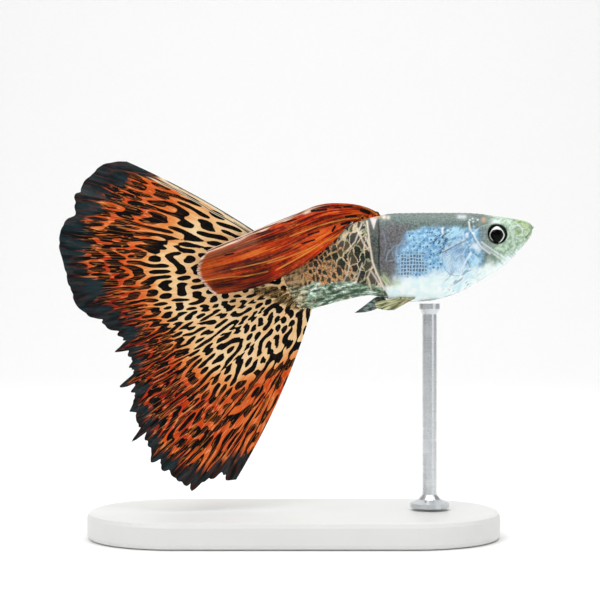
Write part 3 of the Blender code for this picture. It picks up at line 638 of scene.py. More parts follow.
# Near-white flecks on the strands are painted highlights.
strand_colour = blend(tree, ramp(tree, fine, 0.58, 0.72, 0.0, 0.5), strand_colour, (250, 240, 222))
strand_colour = blend(tree, ramp(tree, fine, 0.28, 0.42, 0.35, 0.0), strand_colour, (70, 66, 44))
inside = less(tree, to_strand, attribute(tree, "strand"))
inside = plus(tree, inside, times(tree, centred(tree, speckle), 0.16))
hole = times(tree, ramp(tree, inside, -0.02, 0.045), ramp(tree, cell_number.outputs[0], 0.05, 0.1))
hole = times(tree, hole, ramp(tree, attribute(tree, "mint"), 0.0, 1.0, 1.0, 0.45))
browner = ramp(tree, cell_number.outputs[1], 0.5, 0.8, 0.0, 0.75)
dark_cell = blend(tree, browner, (18, 22, 16), (88, 74, 54))
dark_cell = blend(tree, ramp(tree, speckle, 0.5, 0.7, 0.0, 0.5), dark_cell, (84, 92, 70))
net = blend(tree, hole, strand_colour, dark_cell)
colour = blend(tree, rear, colour, net)

# Mint and dark green streaks with painted white glints of light along the foot of the tail stem.
turned = rotated(tree, place, 0.2)
low_streak = noise(tree, stretched(tree, turned, (0.9, 2.4, 3.0)), 1.0, 3.0, 0.6, 0.5)
mint = blend(tree, ramp(tree, low_streak, 0.38, 0.54), (44, 66, 48), (140, 172, 146))
mint = blend(tree, ramp(tree, low_streak, 0.54, 0.63), mint, (232, 246, 238))
mint = blend(tree, hole, mint, (30, 44, 34), 1.2)
mint_share = maths(tree, "MULTIPLY_ADD", centred(tree, middling), 2.6, attribute(tree, "mint"))
mint_share = times(tree, ramp(tree, mint_share, 0.2, 1.0), ramp(tree, attribute(tree, "mint"), 0.0, 0.15))
colour = blend(tree, mint_share, colour, mint)

# Straw and dark streaks where the stem ends, and the free edges of the scales ahead of it.
stem_end = blend(tree, ramp(tree, low_streak, 0.42, 0.58), (50, 44, 28), (206, 176, 122))
colour = blend(tree, attribute(tree, "end"), colour, stem_end, 0.6)
cell = maths(tree, "MINIMUM", attribute(tree, "ahead"), attribute(tree, "behind_last"))
line = times(tree, ramp(tree, cell, 0.0, 0.14, 1.0, 0.0), attribute(tree, "scaled"))
line = times(tree, line, ramp(tree, attribute(tree, "belly"), 0.2, 0.9, 0.28, 0.08))
line = times(tree, line, ramp(tree, rear, 0.0, 1.0, 1.0, 0.0))
colour = blend(tree, line, colour, (84, 98, 108))

# On the blue flank: rows of dots above, a dark lattice below and short dark squiggles ahead of them.
blue = times(tree, attribute(tree, "blue"), ramp(tree, attribute(tree, "belly"), 0.1, 0.6, 1.0, 0.0))
grid = attribute(tree, "grid")
inputs = {"Vector": stretched(tree, place, (1.0, 0.0, 1.0)), "Scale": 2.6, "Randomness": 0.42}
dots = node(tree, "ShaderNodeTexVoronoi", inputs).outputs[0]
dot = times(tree, ramp(tree, dots, 0.22, 0.36, 1.0, 0.0), blue)
dot = times(tree, dot, ramp(tree, grid, 0.2, 0.7, 1.0, 0.0))
dot = times(tree, dot, ramp(tree, soft, 0.42, 0.50))
dot = times(tree, dot, ramp(tree, attribute(tree, "sheen"), 0.2, 0.9, 1.0, 0.0))
colour = blend(tree, dot, colour, (44, 80, 128), 0.85)
drift = times(tree, centred(tree, soft), 1.2)
split = node(tree, "ShaderNodeSeparateXYZ", {0: place})
across_cell = maths(tree, "PINGPONG", plus(tree, times(tree, split.outputs[0], 3.05), drift), 0.5)
down_cell = maths(tree, "PINGPONG", plus(tree, times(tree, split.outputs[2], 2.6), drift), 0.5)
lattice = ramp(tree, maths(tree, "MINIMUM", across_cell, down_cell), 0.10, 0.22)
lattice_colour = blend(tree, lattice, (168, 200, 226), (72, 86, 102))
lattice_share = times(tree, grid, ramp(tree, middling, 0.35, 0.5, 0.45, 0.9))
colour = blend(tree, lattice_share, colour, lattice_colour)
bent = rotated(tree, place, 0.7)
worms = noise(tree, stretched(tree, bent, (1.5, 0.6, 3.6)), 1.0, 2.0, 0.55, 0.8)
worm = times(tree, ramp(tree, worms, 0.42, 0.47, 1.0, 0.0), attribute(tree, "squiggle"))
colour = blend(tree, worm, colour, (48, 74, 104), 0.9)
# Pale wisps of painted sheen over the front of the blue flank, with painted shade between them.
wisps = noise(tree, stretched(tree, bent, (0.7, 0.5, 2.2)), 1.0, 3.0, 0.55, 0.9)
wisp = times(tree, ramp(tree, wisps, 0.50, 0.62), attribute(tree, "sheen"))
colour = blend(tree, wisp, colour, (192, 232, 248), 0.75)
shade = times(tree, ramp(tree, wisps, 0.36, 0.44, 1.0, 0.0), attribute(tree, "sheen"))
colour = blend(tree, shade, colour, (74, 118, 164), 0.6)

# Brush marks over the coats: the ridge lines are painted shade, the dark marks partly painted shade, and
# the pale marks partly painted highlights and glints.
for mask, strength, paint in (
    ("seam", 1.0, (20, 24, 22)), ("wedge", 0.95, (226, 216, 214)), ("ridge", 0.8, (52, 74, 58)),
    ("dark", 0.8, (58, 76, 90)), ("scratch", 0.7, (158, 184, 214)), ("pale", 0.95, (240, 248, 252)),
    ("cream", 0.95, (238, 222, 204)),
    ("deep", 0.9, (30, 66, 42)), ("tan", 0.9, (206, 160, 112)),
):
    colour = blend(tree, attribute(tree, mask), colour, paint, strength)
# Fine painted glints of light all over, and black painted shade in the sunk socket round each eye.
painted_glint = times(tree, ramp(tree, fine, 0.66, 0.74), ramp(tree, soft, 0.4, 0.6))
colour = blend(tree, painted_glint, colour, (236, 244, 240), 0.4)
colour = blend(tree, attribute(tree, "socket"), colour, (14, 16, 16))
give(shader, "Base Color", colour)
give(shader, "Roughness", ramp(tree, speckle, 0.3, 0.7, 0.30, 0.46))
give(shader, "Metallic", ramp(tree, blue, 0.0, 1.0, 0.0, 0.12))
give(shader, "Coat Weight", ramp(tree, soft, 0.3, 0.7, 0.0, 0.25))
relief = less(tree, plus(tree, speckle, fine), times(tree, times(tree, hole, rear), 0.8))
raised(tree, shader, relief, 0.35, 0.025)
skin.data.materials.append(painted)
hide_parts("head", "trunk", "tail_stem")
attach(skin, "root")

# Eyes
# Each is a glass eye set in its socket: a black pupil, a thin silver ring drawn to a point above
# and below, and a dark outer ring, all under a clear gloss.
EYE_SIDES = 72
EYE_RINGS = 48
IRIS_HALF = (0.84, 0.98)
IRIS_ROUNDNESS = 1.55
PUPIL_RADIUS = 0.64
# The ring sits a little ahead of the middle of the lens and below it.
RING_SHIFT = (0.05, 0.13)

glass, tree, shader = new_finish("eye", IOR=1.33, Specular_IOR_Level=0.2)
place = here(tree)
split = node(tree, "ShaderNodeSeparateXYZ", {0: place})
x = less(tree, split.outputs[0], float(NOSE[0] - EYE_CENTRE[0] - RING_SHIFT[0]))
z = less(tree, split.outputs[2], float(NOSE[2] + EYE_CENTRE[2] - RING_SHIFT[1]))
radius = maths(tree, "SQRT", plus(tree, times(tree, x, x), times(tree, z, z)))
fleck = noise(tree, place, 12.0, 2.0, 0.6)
wide = maths(
    tree, "POWER", maths(tree, "ABSOLUTE", maths(tree, "DIVIDE", x, IRIS_HALF[0])), IRIS_ROUNDNESS
)
tall = maths(
    tree, "POWER", maths(tree, "ABSOLUTE", maths(tree, "DIVIDE", z, IRIS_HALF[1])), IRIS_ROUNDNESS
)
lozenge = maths(tree, "POWER", plus(tree, wide, tall), 1 / IRIS_ROUNDNESS)
ring = times(tree, ramp(tree, lozenge, 0.84, 0.89), ramp(tree, lozenge, 0.99, 1.04, 1.0, 0.0))
crest = times(tree, ramp(tree, z, 0.50, 0.64), ramp(tree, lozenge, 0.99, 1.04, 1.0, 0.0))
gap = times(tree, ramp(tree, z, -0.72, -0.56, 1.0, 0.0), ramp(tree, x, 0.12, 0.26, 1.0, 0.0))
ring = times(tree, maths(tree, "MAXIMUM", ring, crest), less(tree, 1.0, gap))
outer = blend(tree, ramp(tree, fleck, 0.4, 0.7), (12, 15, 16), (44, 52, 50))
colour = blend(tree, ring, outer, blend(tree, fleck, (214, 220, 214), (246, 250, 246)))
colour = blend(
    tree, ramp(tree, radius, PUPIL_RADIUS - 0.02, PUPIL_RADIUS + 0.02, 1.0, 0.0), colour, (1, 1, 2)
)
give(shader, "Base Color", colour)
give(shader, "Roughness", ramp(tree, ring, 0.0, 1.0, 0.08, 0.3))
give(shader, "Metallic", times(tree, ring, 0.2))
raised(tree, shader, plus(tree, ring, times(tree, fleck, 0.3)), 0.3, 0.02)

for word, hand in (("left", 1.0), ("right", -1.0)):
    bpy.ops.object.select_all(action="DESELECT")
    bpy.ops.mesh.primitive_uv_sphere_add(
        segments=EYE_SIDES, ring_count=EYE_RINGS, radius=1.0, rotation=(math.pi / 2, 0, 0)
    )
    eye = bpy.context.object
    bpy.ops.object.transform_apply(location=True, rotation=True, scale=True)
    eye.name = eye.data.name = "eyeball_" + word
    ball = points_of(eye)
    flat = np.hypot(ball[:, 0], ball[:, 2])
    # The lens bulges through the pupil, inside a shallow trough where the iris starts.
    bulge = (
        0.035 * step((0.66 - flat * 1.03) / 0.25) - 0.03 * np.exp(-(((flat * 1.03 - 0.70) / 0.06) ** 2))
    )
    depth = np.sign(ball[:, 1]) * np.abs(ball[:, 1]) ** 0.8 * EYE_HALF[1] * 0.95
    depth = depth + np.sign(ball[:, 1]) * bulge
    where = placed(
        EYE_CENTRE[0] - ball[:, 0] * EYE_HALF[0], hand * EYE_CENTRE[1] + depth,
        EYE_CENTRE[2] + ball[:, 2] * EYE_HALF[2],
    )
    eye.data.vertices.foreach_set("co", where.ravel())
    bpy.ops.object.shade_smooth()
    eye.data.materials.append(glass)
    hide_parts("eye_" + word)
    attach(eye, "root")

# Tail fin
# A wide fan of 22 jointed rays that fork towards the edge, with a thin painted web between them.
# It is cast in clear resin, folded into two pleats, and its edge is torn between the ray tips.
TAIL_FOCUS = (25.76, -4.95)
TAIL_ANGLES = (32.0, -71.9)
TAIL_BENDS = (6.0, -7.5)
TAIL_REACH = (
    (32.0, 23.6), (29.6, 25.2), (26.2, 26.4), (22.9, 26.9), (19.9, 27.0), (19.0, 27.3),
    (16.4, 27.0), (13.9, 26.5), (12.6, 27.1), (7.5, 27.5), (2.0, 26.7), (-6.4, 25.8), (-9.3, 25.3),
    (-13.4, 23.8), (-17.8, 22.2), (-22.0, 21.8), (-27.0, 22.0), (-33.0, 23.8), (-38.0, 24.1),
    (-43.5, 25.5), (-48.4, 26.1), (-54.0, 27.0), (-61.0, 27.1), (-65.2, 25.7), (-71.9, 24.3),
)
TAIL_TEETH = (
    (-22.9, 1.3), (-31.7, 1.2), (-38.6, 0.8), (-44.5, 1.6), (-51.2, 1.0), (-57.0, 0.5), (-62.9, 0.7),
)
TAIL_PLEATS = (20.2, 13.3)
# Dark bars that run down the lowest rays: the angle of each and where it starts and ends.
TAIL_BARS = ((-68.6, 0.12, 0.97), (-65.6, 0.3, 0.9), (-62.0, 0.18, 0.62), (-58.5, 0.35, 0.95))
TAIL_FORK = 0.4
# The wave across the fin has a height in mm and a number of waves, and each pleat steps by its depth.
TAIL_WAVE = (0.9, 1.9)
PLEAT_DEPTH = 0.55
TAIL_CHART_LENGTH = 24.0
ROOT_CORNER_HALF = 0.2
TAIL_RAYS = 22
TAIL_COLUMNS = 380
TAIL_ROWS = 122
TAIL_ROOT_HALF = 0.45
WEB_HALF = 0.055
RAY_HALF = 0.12


def ray_ridge(u, v, rays, fork):
    """1 on a fin ray and 0 between rays. Past the fork each ray is two."""
    spot = (u * rays) % 1.0
    single = np.maximum(0.0, 1.0 - np.abs(spot - 0.5) / 0.2)
    twin = np.maximum(0.0, 1.0 - np.minimum(np.abs(spot - 0.25), np.abs(spot - 0.75)) / 0.2)
    return mix(single, twin, step((v - fork) / 0.15))


def tail_edge(angle):
    """How far the fin reaches from its focus: a smooth edge, with teeth, tears and small frays."""
    reach = through(*zip(*reversed(TAIL_REACH)), angle)
    for place, tall in TAIL_TEETH:
        reach = reach + tall * np.maximum(0.0, 1.0 - np.abs(angle - place) / 1.25) ** 1.3
    draw = np.random.default_rng(31)
    for place in draw.uniform(-70.0, -12.0, 60):
        width = draw.uniform(0.25, 0.8)
        reach = reach - draw.uniform(0.08, 0.55) * np.exp(-(((angle - place) / width) ** 2))
    for place in draw.uniform(-12.0, 31.0, 22):
        reach = (
            reach - draw.uniform(0.03, 0.16) * np.exp(-(((angle - place) / draw.uniform(0.3, 1.2)) ** 2))
        )
    return reach


def tail_surface(u, v, sunk=0.45):
    """The fin's middle surface. u runs from the top ray to the lowest, v from root to edge."""
    back, belly = np.array(RIBS[-1][0]), np.array(RIBS[-1][1])
    down = (belly - back) / np.hypot(*(belly - back))
    share = mix(0.02, 0.98, u)
    root_x = mix(back[0], belly[0], share) + down[1] * sunk
    root_z = mix(back[1], belly[1], share) - down[0] * sunk
    degrees = mix(TAIL_ANGLES[0], TAIL_ANGLES[1], u)
    angle = np.radians(degrees)
    reach = tail_edge(degrees)
    tip_x, tip_z = TAIL_FOCUS[0] + np.cos(angle) * reach, TAIL_FOCUS[1] + np.sin(angle) * reach
    turn = np.radians(mix(TAIL_BENDS[0], TAIL_BENDS[1], u))
    half_x, half_z = (tip_x - root_x) / 2, (tip_z - root_z) / 2
    knee_x = root_x + half_x * np.cos(turn) - half_z * np.sin(turn)
    knee_z = root_z + half_x * np.sin(turn) + half_z * np.cos(turn)
    first, second, third = (1 - v) ** 2, 2 * v * (1 - v), v * v
    wave = TAIL_WAVE[0] * np.sin(2 * math.pi * TAIL_WAVE[1] * u + 0.6) * v ** 1.7
    pleats = sum(np.tanh((degrees - place) / 1.2) for place in TAIL_PLEATS)
    side = wave + PLEAT_DEPTH * pleats * v ** 5
    return (
        root_x * first + knee_x * second + tip_x * third, side, root_z * first + knee_z * second
        + tip_z * third
    )


def blurred(field, across_mm, along_mm, column_mm, row_mm):
    """The field of a fan smoothed by a width in mm across the rays and another along them. A column
    is wider the further out it is, so each row has its own kernel."""
    count = field.shape[0]
    mirrored = np.concatenate([field, field[::-1]])
    waves = np.fft.rfftfreq(2 * count)[:, None]
    kernel = np.exp(-2 * (math.pi * waves * (across_mm / column_mm)[None, :]) ** 2)
    smooth = np.fft.irfft(np.fft.rfft(mirrored, axis=0) * kernel, axis=0)[:count]
    rows = np.arange(field.shape[1]) * row_mm
    weights = np.exp(-(((rows[:, None] - rows[None, :]) / along_mm[:, None]) ** 2) / 2)
    weights /= weights.sum(axis=1, keepdims=True)
    return smooth @ weights.T


def grown_spots(seed, column_mm, row_mm, across_mm, along_mm, bias, rounds=14):
    """Spots as pigment cells form them: each draws others near it and keeps those further off away.
    The result is high in a spot and low between. across_mm and along_mm are given for each row."""
    field = np.random.default_rng(seed).normal(0.0, 1.0, bias.shape)
    field = blurred(field, across_mm * 0.5, along_mm * 0.5, column_mm, row_mm)
    for _ in range(rounds):
        near = blurred(field, across_mm, along_mm, column_mm, row_mm)
        far = blurred(field, across_mm * 1.6, along_mm * 1.6, column_mm, row_mm)
        pull = (near - far) / np.sqrt(((near - far) ** 2).mean(axis=0, keepdims=True))
        field = np.tanh(3.0 * (0.6 * pull + bias))
    return blurred(field, across_mm * 0.75, along_mm * 0.75, column_mm, row_mm)


def fin_sheet(name, columns, rows, surface, half_thickness, rays, length_mm):
    """A grid laid on a fin's middle surface, with each point's half thickness, which rises on the rays,
    kept in a group. Its map counts rays across and millimetres along."""
    bpy.ops.object.select_all(action="DESELECT")
    bpy.ops.mesh.primitive_grid_add(x_subdivisions=columns, y_subdivisions=rows, size=1.0)
    fin = bpy.context.object
    fin.name = fin.data.name = name
    grid = points_of(fin)
    u, v = np.clip(grid[:, 0] + 0.5, 0.0, 1.0), np.clip(grid[:, 1] + 0.5, 0.0, 1.0)
    fin.data.vertices.foreach_set("co", placed(*surface(u, v)).ravel())
    half = half_thickness(u, v)
    group = fin.vertex_groups.new(name="half thickness")
    most = float(half.max())
    for number, share in enumerate((half / most).tolist()):
        group.add([number], share, "REPLACE")
    chart = fin.data.uv_layers[0]
    chart.name = "rays"
    corners = np.empty(len(chart.data) * 2)
    chart.data.foreach_get("uv", corners)
    chart.data.foreach_set("uv", (corners.reshape(-1, 2) * (rays, length_mm)).ravel())
    return fin, u, v, most


def face_outwards():
    """Turns the faces of the piece in hand outwards and shades it smooth."""
    bpy.ops.object.mode_set(mode="EDIT")
    bpy.ops.mesh.select_all(action="SELECT")
    bpy.ops.mesh.normals_make_consistent(inside=False)
    bpy.ops.object.mode_set(mode="OBJECT")
    bpy.ops.object.shade_smooth()


def thickened(fin, most):
    """Turns the sheet into a closed plate of its own thickness and sets its shading smooth."""
    plate = fin.modifiers.new("web and rays", "SOLIDIFY")
    plate.thickness = 2 * most * MM
    plate.offset = 0.0
    plate.vertex_group = "half thickness"
    bpy.ops.object.modifier_apply(modifier=plate.name)
    face_outwards()
    fin.vertex_groups.clear()


def tail_half(u, v):
    root = mix(ROOT_CORNER_HALF, TAIL_ROOT_HALF, step(np.minimum(u, 1 - u) / 0.12))
    plain = mix(root, WEB_HALF, step(v / 0.14))
    ridge = ray_ridge(u, v, TAIL_RAYS, TAIL_FORK) * step(v / 0.08) * (1 - 0.7 * v)
    return plain + (RAY_HALF - WEB_HALF) * ridge


tail, u, v, most = fin_sheet(
    "tail_web_and_rays", TAIL_COLUMNS, TAIL_ROWS, tail_surface, tail_half, TAIL_RAYS,
    TAIL_CHART_LENGTH
)
tail_x, _, tail_z = tail_surface(u, v)
radius = np.hypot(tail_x - TAIL_FOCUS[0], tail_z - TAIL_FOCUS[1])
degrees = mix(TAIL_ANGLES[0], TAIL_ANGLES[1], u)
length = tail_edge(degrees)
from_edge = length - radius

grid_u = np.linspace(0.0, 1.0, TAIL_COLUMNS + 1)[:, None] + np.zeros((1, TAIL_ROWS + 1))
grid_v = np.linspace(0.0, 1.0, TAIL_ROWS + 1)[None, :] + np.zeros((TAIL_COLUMNS + 1, 1))
grid_x, _, grid_z = tail_surface(grid_u, grid_v)
column_mm = np.hypot(np.diff(grid_x, axis=0), np.diff(grid_z, axis=0)).mean(axis=0)
row_mm = float(np.hypot(np.diff(grid_x, axis=1), np.diff(grid_z, axis=1)).mean())
row_share = np.linspace(0.0, 1.0, TAIL_ROWS + 1)
grid_degrees = mix(TAIL_ANGLES[0], TAIL_ANGLES[1], grid_u)
grid_radius = np.hypot(grid_x - TAIL_FOCUS[0], grid_z - TAIL_FOCUS[1])
across_mm = mix(0.160, 0.130, step((row_share - 0.45) / 0.4))
short_mm = mix(0.190, 0.31, step((row_share - 0.15) / 0.6))
long_mm = mix(0.29, 0.47, step((row_share - 0.1) / 0.4))
outer = step((grid_v - 0.50) / 0.35)
round_spots = grown_spots(11, column_mm, row_mm, across_mm, short_mm, -0.20 + 0.12 * outer)
long_spots = grown_spots(12, column_mm, row_mm, across_mm, long_mm, -0.20 + 0.12 * outer)
low_sector = step((-52.0 - grid_degrees) / 9.0)
spots = mix(round_spots, long_spots, np.maximum(step((grid_degrees - 2.0) / 14.0), low_sector))
spots = spots + 0.26 + 0.16 * outer - 0.34 * low_sector * step((grid_v - 0.2) / 0.3)
spots = spots + 0.22 * soft_field(3, grid_x, grid_z, 1.5)
for place, first, last in TAIL_BARS:
    line = np.exp(
        -(((grid_degrees - place - 1.2 * np.sin(grid_v * 5 + place)) * grid_radius / 57.3 / 0.10) ** 2)
    )
    spots = spots + 1.1 * line * step((grid_v - first) / 0.08) * step((last - grid_v) / 0.08)


def grid_order(piece_u, piece_v, columns, rows, field):
    """The grid's values in the order of the sheet's own points."""
    i = np.rint(piece_u * columns).astype(int)
    j = np.rint(piece_v * rows).astype(int)
    return field[i, j]


WARM_ANGLES = (-72, -60, -48, -30, -15, 0, 15, 32)
warm_from = through(WARM_ANGLES, (6.5, 8.5, 12.5, 13.5, 14.5, 14.0, 12.5, 9.0), degrees)
warm_to = through(WARM_ANGLES, (11, 14, 20, 20, 21, 22, 20, 19), degrees)
warm_most = through(WARM_ANGLES, (0.62, 0.66, 0.8, 1.0, 1.0, 0.8, 0.68, 0.62), degrees)
warmth = 0.10 + 0.9 * step((radius - warm_from) / (warm_to - warm_from)) * warm_most
warmth = np.clip(warmth + 0.10 * soft_field(5, tail_x, tail_z, 1.4) * step(radius / 10), 0, 1)
margin_width = through(
    (-72, -64, -56, -48, -40, -30, -22, -14, -6, 4, 14, 24, 32),
    (2.6, 2.5, 1.8, 1.1, 1.2, 0.8, 1.0, 2.6, 2.8, 2.3, 2.2, 3.3, 3.9),
    degrees,
)
margin = margin_width - from_edge
set_numbers(tail, "spots", grid_order(u, v, TAIL_COLUMNS, TAIL_ROWS, spots))
set_numbers(tail, "warmth", warmth)
from_top = np.radians(TAIL_ANGLES[0] - degrees) * radius
lip = step((0.16 - from_top) / 0.08) + 0.55 * step((0.42 - from_top) / 0.1) * (from_top > 0.16)
lip = np.maximum(
    lip, np.exp(-(((from_top - 0.62 - 0.1 * soft_field(9, tail_x, tail_z, 2.0)) / 0.1) ** 2))
)
set_numbers(tail, "lip", lip * step((0.86 - v) / 0.15) * step((radius - 4.0) / 1.0))
set_numbers(tail, "tangle", 0.62 * stroke(tail_x, tail_z, ((26.0, -8.6), (31.5, -6.4)), 1.15))
set_numbers(tail, "margin", margin)
thickened(tail, most)


def streak_group():
    """Fine streaks along fin rays. Chart is the fin's map, Fineness the streaks to each ray, and Length
    how many fit in a millimetre along it."""
    made = bpy.data.node_groups.new("ray streaks", "ShaderNodeTree")
    made.interface.new_socket("Chart", in_out="INPUT", socket_type="NodeSocketVector")
    made.interface.new_socket("Fineness", in_out="INPUT", socket_type="NodeSocketFloat")
    made.interface.new_socket("Length", in_out="INPUT", socket_type="NodeSocketFloat")
    made.interface.new_socket("Streaks", in_out="OUTPUT", socket_type="NodeSocketFloat")
    made.interface.new_socket("Hairs", in_out="OUTPUT", socket_type="NodeSocketFloat")
    inside = made.nodes.new("NodeGroupInput")
    outside = made.nodes.new("NodeGroupOutput")
    split = node(made, "ShaderNodeSeparateXYZ", {0: inside.outputs["Chart"]})
    across = times(made, split.outputs[0], inside.outputs["Fineness"])
    along = times(made, split.outputs[1], inside.outputs["Length"])
    broad = node(made, "ShaderNodeCombineXYZ", {0: across, 1: along}).outputs[0]
    narrow = node(made, "ShaderNodeCombineXYZ", {0: times(made, across, 3.1), 1: along}).outputs[0]
    feed(made, outside.inputs["Streaks"], noise(made, broad, 1.0, 2.0, 0.55, 0.3))
    hair = noise(made, narrow, 1.0, 1.0, 0.5, 0.4)
    distance = maths(made, "ABSOLUTE", centred(made, hair))
    feed(made, outside.inputs["Hairs"], ramp(made, distance, 0.0, 0.035, 1.0, 0.0))
    return made


RAY_STREAKS = streak_group()


def ray_streaks(tree, fineness, length):
    chart = node(tree, "ShaderNodeUVMap", {}, uv_map="rays").outputs[0]
    inputs = {"Chart": chart, "Fineness": fineness, "Length": length}
    made = node(tree, "ShaderNodeGroup", {}, node_tree=RAY_STREAKS)
    for name, value in inputs.items():
        feed(tree, made.inputs[name], value)
    return made.outputs["Streaks"], made.outputs["Hairs"]


def colour_ramp(tree, value, stops):
    made = node(tree, "ShaderNodeValToRGB", {0: value})
    points = made.color_ramp.elements
    while len(points) < len(stops):
        points.new(0.5)
    for point, (place, colour) in zip(points, stops):
        point.position, point.color = place, srgb(*colour)
    return made.outputs[0]


web, tree, shader = new_finish("spotted web", IOR=1.4, Specular_IOR_Level=0.1)
streaks, hairs = ray_streaks(tree, 2.2, 0.30)
place = here(tree)
mottle = noise(tree, place, 2.2, 3.0, 0.6)
ripple = centred(tree, streaks)
warm = plus(tree, attribute(tree, "warmth"), times(tree, ripple, 0.45))
colour = colour_ramp(tree, warm, (
    (0.0, (244, 214, 168)), (0.2, (240, 188, 128)), (0.42, (228, 136, 66)), (0.62, (216, 92, 32)),
    (0.82, (188, 50, 12)), (1.0, (136, 22, 8)),
))
colour = blend(tree, hairs, colour, (252, 226, 176), 0.4)
edge = plus(tree, attribute(tree, "spots"), times(tree, ripple, 0.5))
black = ramp(tree, plus(tree, edge, times(tree, centred(tree, mottle), 0.5)), -0.19, -0.08)
ink = blend(tree, ramp(tree, mottle, 0.48, 0.72), (4, 5, 6), (34, 16, 10))
colour = blend(tree, black, colour, ink)
gold = times(tree, hairs, ramp(tree, attribute(tree, "warmth"), 0.3, 0.7, 0.0, 0.6))
colour = blend(tree, gold, colour, (232, 132, 56))
rim = plus(tree, attribute(tree, "margin"), times(tree, ripple, 4.5))
dark_rim = blend(tree, ramp(tree, streaks, 0.35, 0.65), (8, 18, 22), (30, 48, 52))
colour = blend(tree, ramp(tree, rim, -1.1, 0.6), colour, dark_rim, 0.95)
lip = attribute(tree, "lip")
colour = blend(tree, ramp(tree, lip, 0.1, 0.5), colour, (236, 216, 182))
colour = blend(tree, ramp(tree, lip, 0.6, 0.9), colour, (16, 18, 20))
tangle = plus(tree, attribute(tree, "tangle"), times(tree, ripple, 0.8))
hairy = maths(tree, "MAXIMUM", hairs, ramp(tree, mottle, 0.56, 0.66))
straw = blend(tree, hairy, (36, 30, 20), (206, 164, 98))
colour = blend(tree, ramp(tree, tangle, 0.3, 0.6), colour, straw, 0.9)
give(shader, "Base Color", colour)
give(shader, "Roughness", ramp(tree, mottle, 0.3, 0.7, 0.38, 0.55))
raised(tree, shader, plus(tree, streaks, times(tree, hairs, 0.3)), 0.6, 0.03)
tail.data.materials.append(web)
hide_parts("tail_fin")
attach(tail, "root")

# Dorsal fin
# A long swept fin of nine rays rooted on the back, which leans over the right flank. It is cast like
# the tail and painted red and orange along its rays, with gilt lines and short dark blots.
DORSAL_FRONT = ((17.4, 1.40), (21.2, 4.20), (27.0, 1.50), (36.6, -2.50))
DORSAL_REAR = ((20.3, 0.90), (21.6, -0.90), (27.5, -7.20), (35.9, -7.40))
DORSAL_BULGE = 1.5
DORSAL_HUMP = (0.32, 24.0, 2.4)
DORSAL_STALK = (0.12, 0.10)
DORSAL_LEAN = 2.3
DORSAL_RAYS = 9
DORSAL_FORK = 0.5
DORSAL_RIPPLE = (0.22, 2.3)
DORSAL_ROOT_HALF = 0.34
DORSAL_RAY_RISE = 0.09
DORSAL_CHART_LENGTH = 20.0
DORSAL_COLUMNS = 200
DORSAL_ROWS = 200
DORSAL_STALK_ROW = 1 / 14
DORSAL_CLEARANCE = 0.34


def rib_beside(behind, up):
    """The rib that passes through points of the side view: its top, foot, half width and middle."""
    place = np.array(behind, float)
    last = (RIBS[-1][0][0] + RIBS[-1][1][0]) / 2
    for _ in range(4):
        back_x, back_z, belly_x, belly_z, half_width, widest = rib(np.minimum(place, last))
        drop = np.clip((back_z - up) / (back_z - belly_z), 0.0, 1.0)
        place = place + behind - mix(back_x, belly_x, drop)
    return back_z, belly_z, half_width, mix(back_z, belly_z, widest)


def moved_clear(behind, side, up, clearance):
    """Points over the rear body, moved out from the rib's middle until they have this clearance."""
    top, foot, half_width, middle = rib_beside(behind, up)
    half_height = np.where(up > middle, top - middle, middle - foot) + clearance
    reach = np.hypot(side / (half_width + clearance), (up - middle) / half_height)
    last = (RIBS[-1][0][0] + RIBS[-1][1][0]) / 2
    near = (behind <= last + 1.5) & (reach < 1.0)
    reach = np.where(near, np.maximum(reach, 1e-3), 1.0)
    return behind, side / reach, middle + (up - middle) / reach


def dorsal_surface(u, v):
    """The fin's middle surface. u runs from the front ray to the rear one, v from root to edge."""
    ray = [(mix(a[0], b[0], u), mix(a[1], b[1], u)) for a, b in zip(DORSAL_FRONT, DORSAL_REAR)]
    root_up = rib_beside(*ray[0])[0]
    start = (ray[0][0], root_up + 0.1 + mix(*DORSAL_STALK, u))
    fray = (
        0.07 * soft_field(21, u * 9.0, u * 0.0, 0.17)
        - 0.16 * np.abs(soft_field(22, u * 9.0, u * 0.0, 0.9))
    )
    end = (ray[3][0] + DORSAL_BULGE * np.sin(math.pi * u) + fray - 0.1, ray[3][1])
    share = np.clip((v - DORSAL_STALK_ROW) / (1 - DORSAL_STALK_ROW), 0.0, 1.0)
    rest = 1.0 - share
    weights = (rest ** 3, 3 * rest * rest * share, 3 * rest * share * share, share ** 3)
    behind, up = (sum(w * p[k] for w, p in zip(weights, (start, ray[1], ray[2], end))) for k in (0, 1))
    up = up + DORSAL_HUMP[0] * (1.0 - u) * np.exp(-(((behind - DORSAL_HUMP[1]) / DORSAL_HUMP[2]) ** 2))
    lean = DORSAL_LEAN * mix(0.6, 1.0, u) * (1.0 - rest ** mix(1.6, 4.0, u))
    ripple = DORSAL_RIPPLE[0] * np.sin(2 * math.pi * (DORSAL_RIPPLE[1] * u + 0.2)) * share
    behind, side, up = moved_clear(behind, ripple - lean, up, DORSAL_CLEARANCE)
    stalk = np.clip(v / DORSAL_STALK_ROW, 0.0, 1.0)
    ahead = 0.55 * step((0.25 - u) / 0.25) * (1 - stalk) ** 1.5
    return behind - ahead, side * step(stalk), mix(root_up - 0.35, up, stalk)


def dorsal_half(u, v):
    root = mix(ROOT_CORNER_HALF, DORSAL_ROOT_HALF, step(np.minimum(u, 1 - u) / 0.12))
    plain = mix(root, WEB_HALF, step(v / 0.12))
    ridge = ray_ridge(u, v, DORSAL_RAYS, DORSAL_FORK) * step(v / 0.06) * (1 - 0.6 * v)
    return plain + DORSAL_RAY_RISE * ridge


